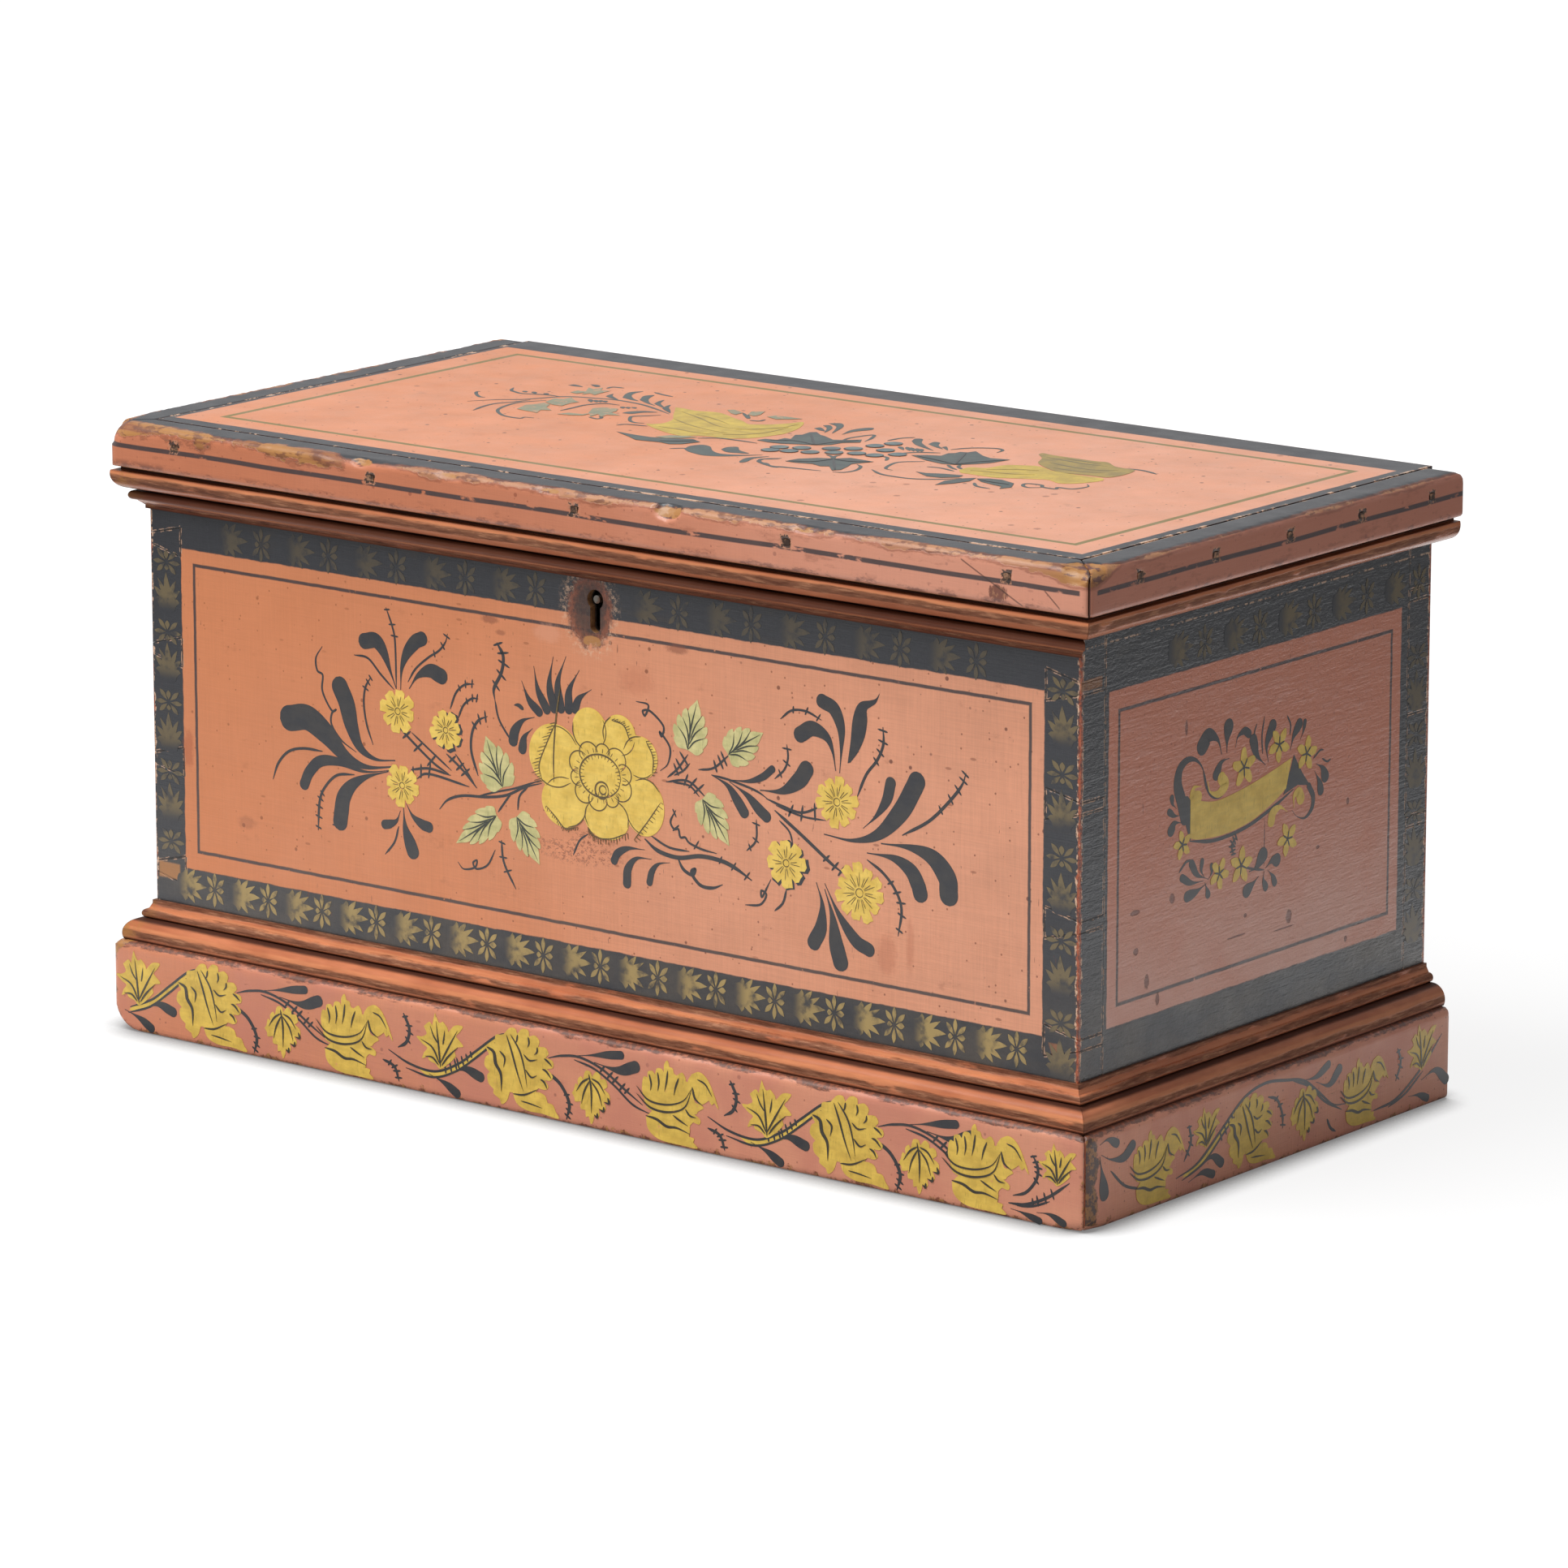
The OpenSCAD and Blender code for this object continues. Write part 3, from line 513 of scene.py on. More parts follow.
def fasciaPaint(f, salmon, black, frontDepth, right):
    # salmon with one black line, dark at the foot
    blush = f.step(f.x + f.sway(260, 40, detail=4, seed=64), -60, 200)
    colour = f.mix(0.62, salmon, f.mix(blush, "fasciaDeep", "fasciaPink"))
    colour = f.mix(f.step(f.x, 241, 242) * 0.45, colour, "fasciaEnd")
    smear = f.patches(0.56, 0.7, 6, (3, 3, 1), detail=6, rough=0.7, seed=62)
    colour = f.mix(smear * 0.4, colour, "rawBrown")
    level = f.z + f.sway(1.2, 60, detail=1, seed=65)
    breaks = f.patches(0.33, 0.4, 12, (1, 1, 0.4), detail=4, seed=66)
    fromCorner = f.step(f.either(right, frontDepth), 4.2, 5.0)
    colour = f.mix(f.near(level, *fasciaMarks["line"]) * breaks * fromCorner * 0.92, colour, black)
    foot = f.patches(0.5, 0.62, 5, (2.4, 2.4, 0.9), detail=6, rough=0.72, seed=57)
    colour = f.mix(foot * f.step(f.z, 236.5, 233) * 0.65, colour, "copperDark")
    # a dark rubbed place and two scratches near the front corner
    crumbs = f.noise(1.6, (0.8, 0.8, 2.2), detail=5, rough=0.75, seed=58)
    onFront = f.step(frontDepth, 1.6, 1.2)
    reach = ovalReach(f, f.x, f.z, *fasciaMarks["rubbed"]) + (crumbs - 0.5) * 1.4
    rubbedDark = f.mix(f.step(crumbs, 0.5, 0.6), "copperDark", "rubbed")
    colour = f.mix(f.step(reach, 1.05, 0.8) * onFront * 0.85, colour, rubbedDark)
    for x0, z0, x1, z1 in fasciaMarks["scratches"]:
        long = math.hypot(x1 - x0, z1 - z0)
        a, b = (z0 - z1) / long, (x1 - x0) / long
        aside = abs(f.x * a + f.z * b - (a * x0 + b * z0))
        scratch = f.step(aside, 0.4, 0.2) * f.near(f.x, (x0 + x1) / 2, abs(x1 - x0) / 2, 0.5) * onFront
        colour = f.mix(scratch * 0.7, colour, "grime")
    # chipped paint round the nail heads
    head = beyond
    for x in fasciaMarks["nailsFront"]:
        head = f.least(abs(f.x - x) + (1 - onFront) * beyond, head)
    for y in fasciaMarks["nailsEnd"]:
        head = f.least(abs(f.y - y) + onFront * beyond, head)
    head = f.either(head, abs(f.z - fasciaMarks["nailLevel"]))
    head = head + f.sway(6.5, 2.4, detail=4, rough=0.7, seed=59)
    colour = f.mix(f.step(head, 2.9, 2.4) * f.step(crumbs, 0.4, 0.52) * 0.9, colour, "blushWood")
    return f.mix(f.step(head, 2.3, 2.0) * 0.9, colour, "crack")


def lidFinish():
    f = Finish("lid_paint", 0.38)
    salmon, weave = salmonGround(f)
    black = blackGround(f)
    topDepth = planes["lidTop"] - f.z
    frontDepth = f.y - planes["lidFront"]
    right = planes["lidEnd"] - f.x
    sideDepth = f.least(planes["lidEnd"] - abs(f.x), frontDepth)
    onTop = f.step(sideDepth - topDepth, -0.4, 0.4) * f.step(topDepth, 6.0, 4.0)
    colour = f.mix(onTop, fasciaPaint(f, salmon, black, frontDepth, right), lidTopPaint(f, salmon, black))
    # worn arris: bare wood of uneven width, wide to the left and at the front corner, grime and pale rims
    ragged = f.noise(16, (2.2, 2.2, 1), detail=6, rough=0.68, seed=67)
    width = f.step(f.x, -50, -150) * 4.2 + 4.4
    width = f.step(ragged, 0.3, 0.78) * (f.step(f.x, 232, 238) * -0.5 + 1.0) * width + 0.3
    corner = f.step(f.x, 205, 242) * f.step(f.y, -104, -127)
    edge = width + corner * 6.0 - f.either(topDepth, sideDepth)
    golden = f.either(f.step(f.x, -40, -140), corner)
    raw = f.mix((1 - golden) * 0.6, woodGround(f, "x", "bareWood", "rawBrown")[0], "blushWood")
    fleck = f.patches(0.5, 0.62, 2.0, (3, 3, 1), detail=4, seed=68)
    bared = f.step(edge, -0.2, 0.5)
    colour = f.mix(f.step(edge, -1.4, -0.4) * 0.55, colour, "rawBrown")
    colour = f.mix(bared, colour, f.mix(fleck * 0.7, raw, "copperDark"))
    for chip in lidChips:
        gap = f.vector("DIVIDE", f.vector("SUBTRACT", f.place, chip[:3]), chip[3:6])
        reach = f.vector("LENGTH", gap, output="Value") + (ragged - 0.5) * 0.8
        colour = f.mix(f.step(reach, 0.98, 0.9), colour, f.mix(fleck, "bareWood", "copperDark"))
    # open mitre at the front corner, bare wood below, dull paint behind
    mitre = f.step(abs(right - frontDepth), 0.75, 0.4) * f.step(f.either(right, frontDepth), 6.0, 4.0)
    colour = f.mix(mitre * 0.9, colour, "grime")
    hidden = f.step(f.z, planes["lidUnder"] + 0.3, planes["lidUnder"] + 0.1)
    colour = f.mix(hidden, colour, woodGround(f)[0])
    rear = f.step(f.y, planes["lidBack"] - 0.3, planes["lidBack"] - 0.1)
    colour = f.mix(rear * 0.8, colour, "rawBrown")
    roughness = f.noise(12, detail=4, seed=69) * 0.22 + 0.3
    height = weave * 0.35 - bared * 0.9 + f.noise(1.1, (6, 6, 1), seed=70) * 0.5
    return f.done(colour, roughness, height, 0.14)


def plinthFinish():
    f = Finish("plinth_paint", 0.42)
    salmon, weave = salmonGround(f)
    colour = f.mix(f.patches(0.36, 0.66, 30, detail=4, seed=71) * 0.5 + 0.35, salmon, "plinthPink")
    endDepth = planes["plinthEnd"] - abs(f.x)
    frontDepth = f.y - planes["plinthFront"]
    topDepth = planes["plinthTop"] - f.z
    sideDepth = f.least(endDepth, frontDepth)
    # foot and corners rubbed to the wood
    ragged = f.noise(9, detail=6, rough=0.7, seed=73)
    edge = f.least(f.either(f.z, sideDepth), f.either(endDepth, frontDepth))
    edge = f.step(ragged, 0.38, 0.84) * 5.0 - edge
    fleck = f.patches(0.46, 0.6, 2.0, detail=4, seed=74)
    colour = f.mix(f.step(edge, -0.8, 0.4), colour, f.mix(fleck, "rawBrown", "bareWood"))
    # dark line along the top edge, under the moulding: wear, and partly painted shade
    topLine = topDepth + f.sway(9.0, 7, (4, 4, 1), detail=6, rough=0.75, seed=77)
    colour = f.mix(f.step(topLine, 1.8, 0.8) * 0.85, colour, f.mix(fleck, "grime", "rawBrown"))
    atCorner = frontDepth * f.step(f.x, 240, 242.6) + f.step(f.x, 242.6, 240) * beyond
    atCorner = atCorner + (ragged - 0.5) * 16.0
    colour = f.mix(f.step(atCorner, 8.4, 6.6), colour, f.mix(fleck * 0.6, "grime", "bareWood"))
    leftTop = (f.x + 243) * 0.9 + topDepth + (ragged - 0.5) * 14.0 + f.step(f.y, -118, -88) * 20.0
    colour = f.mix(f.step(leftTop, 9.0, 7.6), colour, f.mix(fleck, "bareWood", "rubbed"))
    streak = f.patches(0.66, 0.74, 5, (5, 5, 0.6), detail=5, rough=0.7, seed=75)
    colour = f.mix(streak * 0.55, colour, "copperDark")
    inner = f.step(sideDepth, 3.4, 4.0) * f.step(f.z, 36.4, 36.0)
    colour = f.mix(inner, colour, woodGround(f)[0])
    roughness = f.noise(12, detail=4, seed=76) * 0.2 + 0.34
    return f.done(colour, roughness, weave * 0.4 - streak * 0.8, 0.15)


mouldingBands = {
    # painted shade in the crevices, and worn bands: height and half height in millimetres, strength
    "dark": [(37.2, 0.7, 0.9), (45.5, 0.8, 0.92), (53.2, 0.5, 0.6), (213.9, 0.6, 0.8),
             (219.9, 1.6, 0.5), (222.3, 0.9, 0.92), (231.3, 1.3, 0.92)],
    "rub": [(39.7, 1.3), (48.0, 1.1), (52.2, 1.0), (215.6, 0.7), (227.0, 1.5)],
    # crests of the rounds painted lighter: a painted highlight
    "highlightCrest": [(41.6, 1.1), (49.6, 0.7), (217.4, 0.5), (228.6, 0.9)],
    "bead": (217.5, 4.5, 0.3),
}


def mouldingFinish():
    # copper coloured paint, rubbed through in bands, with painted shade in the crevices
    f = Finish("moulding_paint", 0.3, 0.14)
    colour = f.mix(f.patches(0.35, 0.65, 40, seed=82), "mould", "mouldLight")
    colour = f.mix(f.near(f.z, *mouldingBands["bead"]) * 0.55, colour, "copperDark")
    ragged = f.noise(8, (5, 5, 0.5), detail=6, rough=0.72, seed=81)
    fine = f.noise(2.2, (5, 5, 0.5), detail=5, rough=0.7, seed=83)
    wander = (ragged - 0.5) * 4.0

    def bands(key, level):
        made = 0.0
        for place, half, *strength in mouldingBands[key]:
            band = f.near(level, place, half, 0.5)
            made = f.either(band * strength[0] if strength else band, made)
        return made

    # a painted highlight along the crest of each round, broken in patches
    highlightCrest = bands("highlightCrest", f.z) * f.patches(0.3, 0.6, 22, (3, 3, 0.4), detail=4, seed=87)
    colour = f.mix(highlightCrest * 0.7, colour, "paintedHighlight")
    rub = bands("rub", f.z + wander) * f.patches(0.3, 0.42, 24, (1, 1, 0.3), detail=4, seed=85)
    # painted shade in the crevices between the rounds and under the lid's overhang
    dark = bands("dark", f.z + wander * 0.2)
    bare = f.mix(f.step(fine, 0.36, 0.5), "grime", "worn")
    bare = f.mix(f.step(fine, 0.52, 0.64), bare, "wornLight")
    colour = f.mix(rub * 0.8, colour, bare)
    ends = f.step(f.x, -222, -243) * f.step(f.y, -90, -112) * f.patches(0.42, 0.56, 6, detail=4, seed=86)
    colour = f.mix(ends * 0.8, colour, "bareWood")
    colour = f.mix(dark, colour, "sootAndShade")
    colour = f.tone(colour, f.noise(1.2, (8, 8, 1), seed=84) * 0.4 + 0.8)
    roughness = f.either(rub, dark) * 0.35 + 0.25
    return f.done(colour, roughness, rub * (fine - 1.4) + ragged * 0.3, 0.2)


def woodFinish(name, along):
    f = Finish(name, 0.65, 0.3)
    colour, grain = woodGround(f, along)
    return f.done(colour, None, grain, 0.15)


def ironFinish(name, tint, rust):
    f = Finish(name, 0.5, 0.5, 0.75)
    worn = f.noise(2.5, detail=5, rough=0.65, seed=91)
    colour = f.mix(f.step(worn, 0.42, 0.66), tint, rust)
    return f.done(colour, worn * 0.4 + 0.3, worn, 0.08)


finishes = {
    "case": caseFinish(),
    "lid": lidFinish(),
    "plinth": plinthFinish(),
    "moulding": mouldingFinish(),
    "bottom": woodFinish("bottom_wood", "x"),
    "nail": ironFinish("nail_iron", paint(70, 54, 46), paint(168, 128, 100)),
    "hinge": ironFinish("hinge_iron", paint(96, 92, 88), paint(104, 70, 52)),
    "lock": ironFinish("lock_iron", paint(112, 108, 102), paint(92, 70, 56)),
}
# finishes by the start of a piece's name, the first that fits; the lock's pieces are the rest
finishOf = {
    "front_board": "case", "back_board": "case", "left_board": "case", "right_board": "case",
    "bottom_board": "bottom", "bottom_nails": "nail", "lid_board": "lid", "lid_nails": "nail",
    "lid_s": "lid", "lid_m": "moulding", "plinth": "plinth", "base": "moulding", "case": "moulding",
    "hinge": "hinge",
}
for name, thing in nodes.items():
    kind = next((value for key, value in finishOf.items() if name.startswith(key)), "lock")
    thing.data.materials.clear()
    thing.data.materials.append(finishes[kind])
print("ground paints set")


# brush work: every stroke is a ribbon whose half width follows the brush, painted on a face of the box
faces = {
    "front": {"turn": (90, 0, 0), "seat": (0, planes["front"], 0), "out": (0, -1, 0)},
    "end": {"turn": (90, 0, 90), "seat": (planes["end"], 0, 0), "out": (1, 0, 0)},
    "plinthFront": {"turn": (90, 0, 0), "seat": (0, planes["plinthFront"], 0), "out": (0, -1, 0)},
    "plinthEnd": {"turn": (90, 0, 90), "seat": (planes["plinthEnd"], 0, 0), "out": (1, 0, 0)},
    "lidTop": {"turn": (0, 0, 0), "seat": (0, 0, planes["lidTop"]), "out": (0, 0, 1)},
}
for title, plane in faces.items():
    plane["body"] = "lid" if title == "lidTop" else "case"
    plane["slot"] = "salmon_paint" if title == "lidTop" else "case_paint"
# thickness of a film, height of one layer over the next, and of crossing marks in a layer
paintFilm = {"thick": 0.05, "layer": 0.06, "lifts": 13, "lift": 0.0035, "shapeLift": 0.0017,
             "along": 0.00004}


def pairs(flat):
    # u, v, u, v and so on as points
    return [Vector((flat[i], flat[i + 1])) for i in range(0, len(flat), 2)]


def sweep(flat, count=9):
    # a smooth line through the given points
    points = pairs(flat)
    ends = [points[0] * 2 - points[1], *points, points[-1] * 2 - points[-2]]
    line = []
    for a, b, c, d in zip(ends, ends[1:], ends[2:], ends[3:]):
        for i in range(count):
            t = i / count
            line.append(0.5 * (2 * b + (c - a) * t + (2 * a - 5 * b + 4 * c - d) * t * t
                               + (3 * b - a - 3 * c + d) * t ** 3))
    line.append(points[-1])
    return line


def withWidth(line, profile):
    # each point of a line with the half width of the brush there
    total = [0.0]
    for a, b in zip(line, line[1:]):
        total.append(total[-1] + (b - a).length)
    return [(p.x, p.y, max(profile(s / total[-1], total[-1]), 0.02)) for p, s in zip(line, total)]


def comma(width, *flat, slim=2.5):
    # thin tail first, full round head last
    half = width / 2

    def profile(t, length):
        swell = 0.06 + 0.94 * math.sin(math.pi / 2 * min(t / 0.78, 1)) ** slim
        cap = max((t * length - (length - half)) / half, 0)
        return half * swell * math.sqrt(max(1 - cap * cap, 0))

    line = sweep(flat)
    ahead = (line[-1] - line[-2]).normalized()
    line += [line[-1] + ahead * half * k * 0.12 for k in range(1, 11)]
    return withWidth(line, profile)


def blade(width, *flat):
    # pointed at both ends, fullest a third of the way along
    return withWidth(sweep(flat), lambda t, length: width / 2 * math.sin(math.pi * t ** 0.7) ** 0.8)


def petal(width, *flat):
    # pointed at both ends, fullest past its middle
    return withWidth(sweep(flat, 5), lambda t, length: width / 2 * math.sin(math.pi * t ** 1.25))


def tendril(width, *flat):
    # thin line, thinner at both ends
    return withWidth(sweep(flat), lambda t, length: width / 2 * min(1, 0.3 + 5 * t, 0.25 + 4 * (1 - t)))


def ticks(width, first, last, count, reach, *flat):
    # short cross strokes along a tendril
    line = sweep(flat)
    made = []
    for i in range(count):
        at = first + (last - first) * i / max(count - 1, 1)
        k = min(int(at * (len(line) - 1)), len(line) - 2)
        ahead = (line[k + 1] - line[k]).normalized()
        side = Vector((-ahead.y, ahead.x))
        lean = side * reach * (1.0 + 0.3 * math.sin(7.0 * i)) + ahead * reach * 0.3
        made.append(tendril(width, *(line[k] - lean * 0.45), *(line[k] + lean * 0.55)))
    return made


def ring(width, u, v, ru, rv, start=0, end=360):
    flat = []
    steps = max(int(abs(end - start) / 30), 3)
    for i in range(steps + 1):
        angle = math.radians(start + (end - start) * i / steps)
        flat += [u + ru * math.cos(angle), v + rv * math.sin(angle)]
    return tendril(width, *flat)


def leafSpot(base, tip, along, across):
    # a place on a leaf: along from base to tip, across in millimetres
    base = Vector(base)
    axis = Vector(tip) - base
    side = Vector((-axis.y, axis.x)).normalized()
    return base + axis * along + side * across


# one side of a leaf's edge, run by run from notch to notch: share along the leaf, share of its width
leafCut = [(0, 0.05, -0.02, 0.3, 0.1, 0.46), (0.14, 0.44, 0.26, 0.53, 0.37, 0.52),
           (0.35, 0.43, 0.48, 0.48, 0.58, 0.44), (0.54, 0.34, 0.66, 0.35, 0.75, 0.28),
           (0.71, 0.2, 0.8, 0.17, 0.9, 0.08)]


def leafShape(base, tip, width):
    # the second side of the leaf is a little narrower than the first
    edge = []
    for run, after in zip(leafCut, leafCut[1:] + [(1.0, 0.0)]):
        edge += sweep([*run, *after[:2]], 4)[:-1]
    first = [leafSpot(base, tip, p.x, p.y * width)[:] for p in edge]
    second = [leafSpot(base, tip, p.x, -0.94 * p.y * width)[:] for p in reversed(edge)]
    return first + [leafSpot(base, tip, 1, 0)[:]] + second


def leafVeins(base, tip, width, thick):
    # a midrib with side veins that leave it one above the other
    def spot(along, across):
        return leafSpot(base, tip, along, across)

    made = [blade(thick * 1.2, *spot(0.0, 0), *spot(0.4, width * 0.03), *spot(0.92, 0))]
    for k in range(3):
        start, far, out = 0.02 + 0.1 * k, 0.36 + 0.2 * k, width * (0.41 - 0.09 * k)
        for sign in (1, -1):
            made.append(blade(thick, *spot(start, sign * 0.15),
                              *spot((start + far) / 2 + 0.02, sign * out * 0.36),
                              *spot(far, sign * out)))
    return made


def starShape(u, v, radius, points, turn):
    # a flower with blunt, notched petals
    outline = []
    for i in range(points):
        for share, reach in ((-0.5, 0.7), (-0.36, 0.95), (-0.12, 1.03), (0.14, 0.98), (0.36, 1.0)):
            angle = math.radians(turn) + 2 * math.pi * (i + share) / points
            reach *= radius * (1 + 0.06 * math.sin(i * 2.4 + u))
            outline.append((u + reach * math.cos(angle), v + reach * math.sin(angle)))
    return outline


def starLines(u, v, radius, points, turn):
    # fine rays drawn out from the heart of the flower
    made = []
    for i in range(points):
        for share, reach in ((-0.14, 0.72), (0.18, 0.58)):
            angle = math.radians(turn) + 2 * math.pi * (i + share) / points
            a, b = math.cos(angle) * radius, math.sin(angle) * radius
            made.append(tendril(0.27, u + a * 0.22, v + b * 0.22, u + a * reach, v + b * reach))
    made.append(ring(0.32, u, v, radius * 0.15, radius * 0.15))
    return made


def notched(runs, count):
    # a leaf edge: smooth runs that meet at sharp notches
    outline = []
    for run, after in zip(runs, runs[1:] + runs[:1]):
        outline += [p[:] for p in sweep([*run, *after[:2]], count)[:-1]]
    return outline


def blobShape(u, v, ru, rv, wave, seed, turn=0.0):
    # an oval with a wavering edge
    outline = []
    steps = 28
    cosine, sine = math.cos(math.radians(turn)), math.sin(math.radians(turn))
    for i in range(steps):
        angle = 2 * math.pi * i / steps
        reach = 1 + wave * math.sin(3 * angle + seed) + wave * 0.7 * math.sin(5 * angle + 2 * seed)
        a, b = ru * reach * math.cos(angle), rv * reach * math.sin(angle)
        outline.append((u + a * cosine - b * sine, v + a * sine + b * cosine))
    return outline


def cloudShape(u, v, petals):
    # outer edge of overlapping round petals, seen from a point inside them all
    outline = []
    steps = 160
    for i in range(steps):
        angle = 2 * math.pi * i / steps
        ray = Vector((math.cos(angle), math.sin(angle)))
        best = 0.0
        for cu, cv, ru, rv in petals:
            du, dv = (u - cu) / ru, (v - cv) / rv
            a = (ray.x / ru) ** 2 + (ray.y / rv) ** 2
            b = du * ray.x / ru + dv * ray.y / rv
            inside = b * b - a * (du * du + dv * dv - 1)
            if inside > 0:
                best = max(best, (-b + math.sqrt(inside)) / a)
        outline.append((u + ray.x * best, v + ray.y * best))
    return outline


def outlineCurve(name, outlines):
    # filled outlines that do not overlap, as one flat curve
    curve = bpy.data.curves.new(name, "CURVE")
    curve.dimensions = "2D"
    curve.fill_mode = "BOTH"
    for outline in outlines:
        spline = curve.splines.new("POLY")
        spline.use_cyclic_u = True
        spline.points.add(len(outline) - 1)
        for point, (u, v) in zip(spline.points, outline):
            point.co = (u * mm, v * mm, 0, 1)
    return bpy.data.objects.new(name, curve)


def paintPiece(name, face, layer, strokes, shapes, finish, apart=False):
    # strokes are ribbons, shapes are filled outlines; both become one thin film of paint
    # strokes and shapes that cross lie at slightly different heights, as brush marks do
    def lift(i):
        return (i % paintFilm["lifts"]) * paintFilm["lift"]

    bpy.ops.object.select_all(action="DESELECT")
    made = []
    if strokes:
        curve = bpy.data.curves.new(name + "_strokes", "CURVE")
        curve.dimensions = "3D"
        curve.twist_mode = "Z_UP"
        curve.extrude = mm
        for i, stroke in enumerate(strokes):
            spline = curve.splines.new("POLY")
            spline.points.add(len(stroke) - 1)
            for j, (point, (u, v, half)) in enumerate(zip(spline.points, stroke)):
                point.co = (u * mm, v * mm, (lift(i) + j * paintFilm["along"]) * mm, 1)
                point.radius = half
                point.tilt = math.pi / 2
        made.append(bpy.data.objects.new(name + "_strokes", curve))
    if apart and shapes:
        made.append(outlineCurve(name + "_shapes", shapes))
    for i, outline in enumerate(shapes if not apart else []):
        shape = outlineCurve(name + "_shape", [outline])
        shape.location.z = (paintFilm["shapeLift"] + lift(i)) * mm
        made.append(shape)
    for thing in made:
        bpy.context.scene.collection.objects.link(thing)
        thing.select_set(True)
    bpy.context.view_layer.objects.active = made[0]
    bpy.ops.object.convert(target="MESH")
    if len(made) > 1:
        bpy.ops.object.join()
    piece = bpy.context.object
    piece.name = name
    bpy.ops.object.mode_set(mode="EDIT")
    bpy.ops.mesh.select_all(action="SELECT")
    bpy.ops.mesh.remove_doubles(threshold=1e-7)
    bpy.ops.mesh.select_all(action="DESELECT")
    bpy.ops.object.mode_set(mode="OBJECT")
    for polygon in piece.data.polygons:
        polygon.select = polygon.normal.z < 0
    bpy.ops.object.mode_set(mode="EDIT")
    bpy.ops.mesh.flip_normals()
    bpy.ops.object.mode_set(mode="OBJECT")
    film = piece.modifiers.new("film", "SOLIDIFY")
    film.thickness = paintFilm["thick"] * mm
    film.offset = -1
    bpy.ops.object.modifier_apply(modifier="film")
    print(name, len(piece.data.polygons), "faces")
    seat = faces[face]
    piece.location = (Vector(seat["seat"]) + Vector(seat["out"]) * paintFilm["layer"] * layer) * mm
    piece.rotation_euler = [math.radians(a) for a in seat["turn"]]
    bpy.ops.object.transform_apply(location=True, rotation=True, scale=True)
    bpy.ops.object.shade_flat()
    piece.data.materials.clear()
    piece.data.materials.append(finish)
    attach(piece, seat["body"])
    return piece


def filmFinish(name, tint, second, worn, gloss=0.4):
    # a film of brushed paint, uneven in strength, rubbed through in small places
    f = Finish(name, gloss)
    streak = f.noise(1.8, (5, 5, 1), detail=4, seed=101)
    colour = f.mix(f.patches(0.35, 0.65, 7, detail=4, seed=102), paint(*tint), paint(*second))
    colour = f.tone(colour, streak * 0.44 + 0.78)
    scratch = f.patches(0.56, 0.7, 0.9, (1, 1, 5), rough=0.65, seed=104)
    colour = f.tone(colour, scratch * -0.2 + 1.03)
    rubbed = f.patches(worn, worn + 0.05, 2.6, (1.5, 1.5, 1), detail=6, rough=0.75, seed=103)
    return f.done(f.mix(rubbed * 0.8, colour, "salmon"), None, streak, 0.05)


# films of paint by name: two colours as they are seen, where wear starts, roughness
films = {
    "black": filmFinish("black_film", (40, 41, 46), (52, 50, 50), 0.72),
    "gold": filmFinish("gold_film", (242, 206, 100), (226, 188, 82), 0.68, 0.36),
    "goldDull": filmFinish("gold_dull_film", (228, 192, 84), (208, 172, 72), 0.64),
    "green": filmFinish("green_film", (218, 207, 146), (192, 186, 126), 0.7),
    "pen": filmFinish("pen_film", (104, 84, 40), (80, 66, 36), 0.6),
    "leafPen": filmFinish("leaf_pen_film", (58, 50, 34), (46, 42, 34), 0.66),
    "greenPen": filmFinish("green_pen_film", (58, 62, 50), (46, 50, 42), 0.7),
    "blue": filmFinish("blue_film", (62, 74, 70), (48, 58, 58), 0.66),
    "grape": filmFinish("grape_film", (104, 120, 118), (74, 90, 94), 0.66),
    "goldLid": filmFinish("gold_lid_film", (204, 174, 60), (182, 152, 54), 0.64),
    "olive": filmFinish("olive_film", (160, 134, 54), (136, 114, 52), 0.62),
    "hatch": filmFinish("hatch_film", (98, 88, 58), (116, 104, 62), 0.6),
    "faded": filmFinish("faded_film", (128, 132, 106), (150, 140, 110), 0.56),
}


# bronze stencil in the black borders: a leaf and an eight petal star by turns along each border
stencilCut = {
    "petals": [
        (7.2, 1.9, 90), (7.2, 1.9, 268), (7, 2, 44), (6.6, 2, 128), (6.8, 2, 226), (7, 2, 310),
        (4.8, 2.5, 2), (3.4, 2.3, 180),
    ],
    "gap": 1.0,
    "leafAt": -0.4,
    "leaf": [
        (-9, 0, -8.8, 2.4), (-8, 4.2, -5.8, 4.8), (-4.2, 6.7, -3.2, 5.4), (-3.2, 4.1, -1.6, 5.6),
        (0.8, 7, 0.4, 5.2), (-0.6, 3.3, 1.8, 4.2), (4.6, 5, 2.8, 3.1), (1.2, 1.6, 3.8, 1.5),
        (7.2, 0.4, 3.6, -0.9), (1, -1.8, 2.8, -3.1), (4.4, -5, 1.6, -4.3), (-0.8, -3.5, 0.2, -5.4),
        (0.4, -7, -1.8, -5.6), (-3.4, -4.3, -3.4, -5.5), (-4.6, -6.7, -6.2, -4.8), (-8.2, -4, -9, -2),
    ],
}
# border rows: face, axis the row runs along, first star, pitch, stars, place across, strength,
# and whether the leaves fade at the back
stencilRows = {
    "front_low": ("front", "u", -198.6, 28.6, 15, 61.4, 0.9, True),
    "front_right": ("front", "v", 74.5, 31.45, 5, 221.8, 0.33, True),
    "front_left": ("front", "v", 78.3, 28.7, 5, -221.8, 0.29, True),
    "front_top": ("front", "u", -170.9, 35.3, 11, 206.2, 0.15, True),
    "end_top": ("end", "u", -36.9, 35.9, 5, 206.5, 0.27, True),
    "end_rear": ("end", "v", 84, 31, 4, 106.5, 0.2, False),
}


# the keyhole breaks the top row, and the left row starts with a star alone
stencilGaps = {"row": "front_top", "middle": 2, "half": 24, "bareStart": "front_left"}


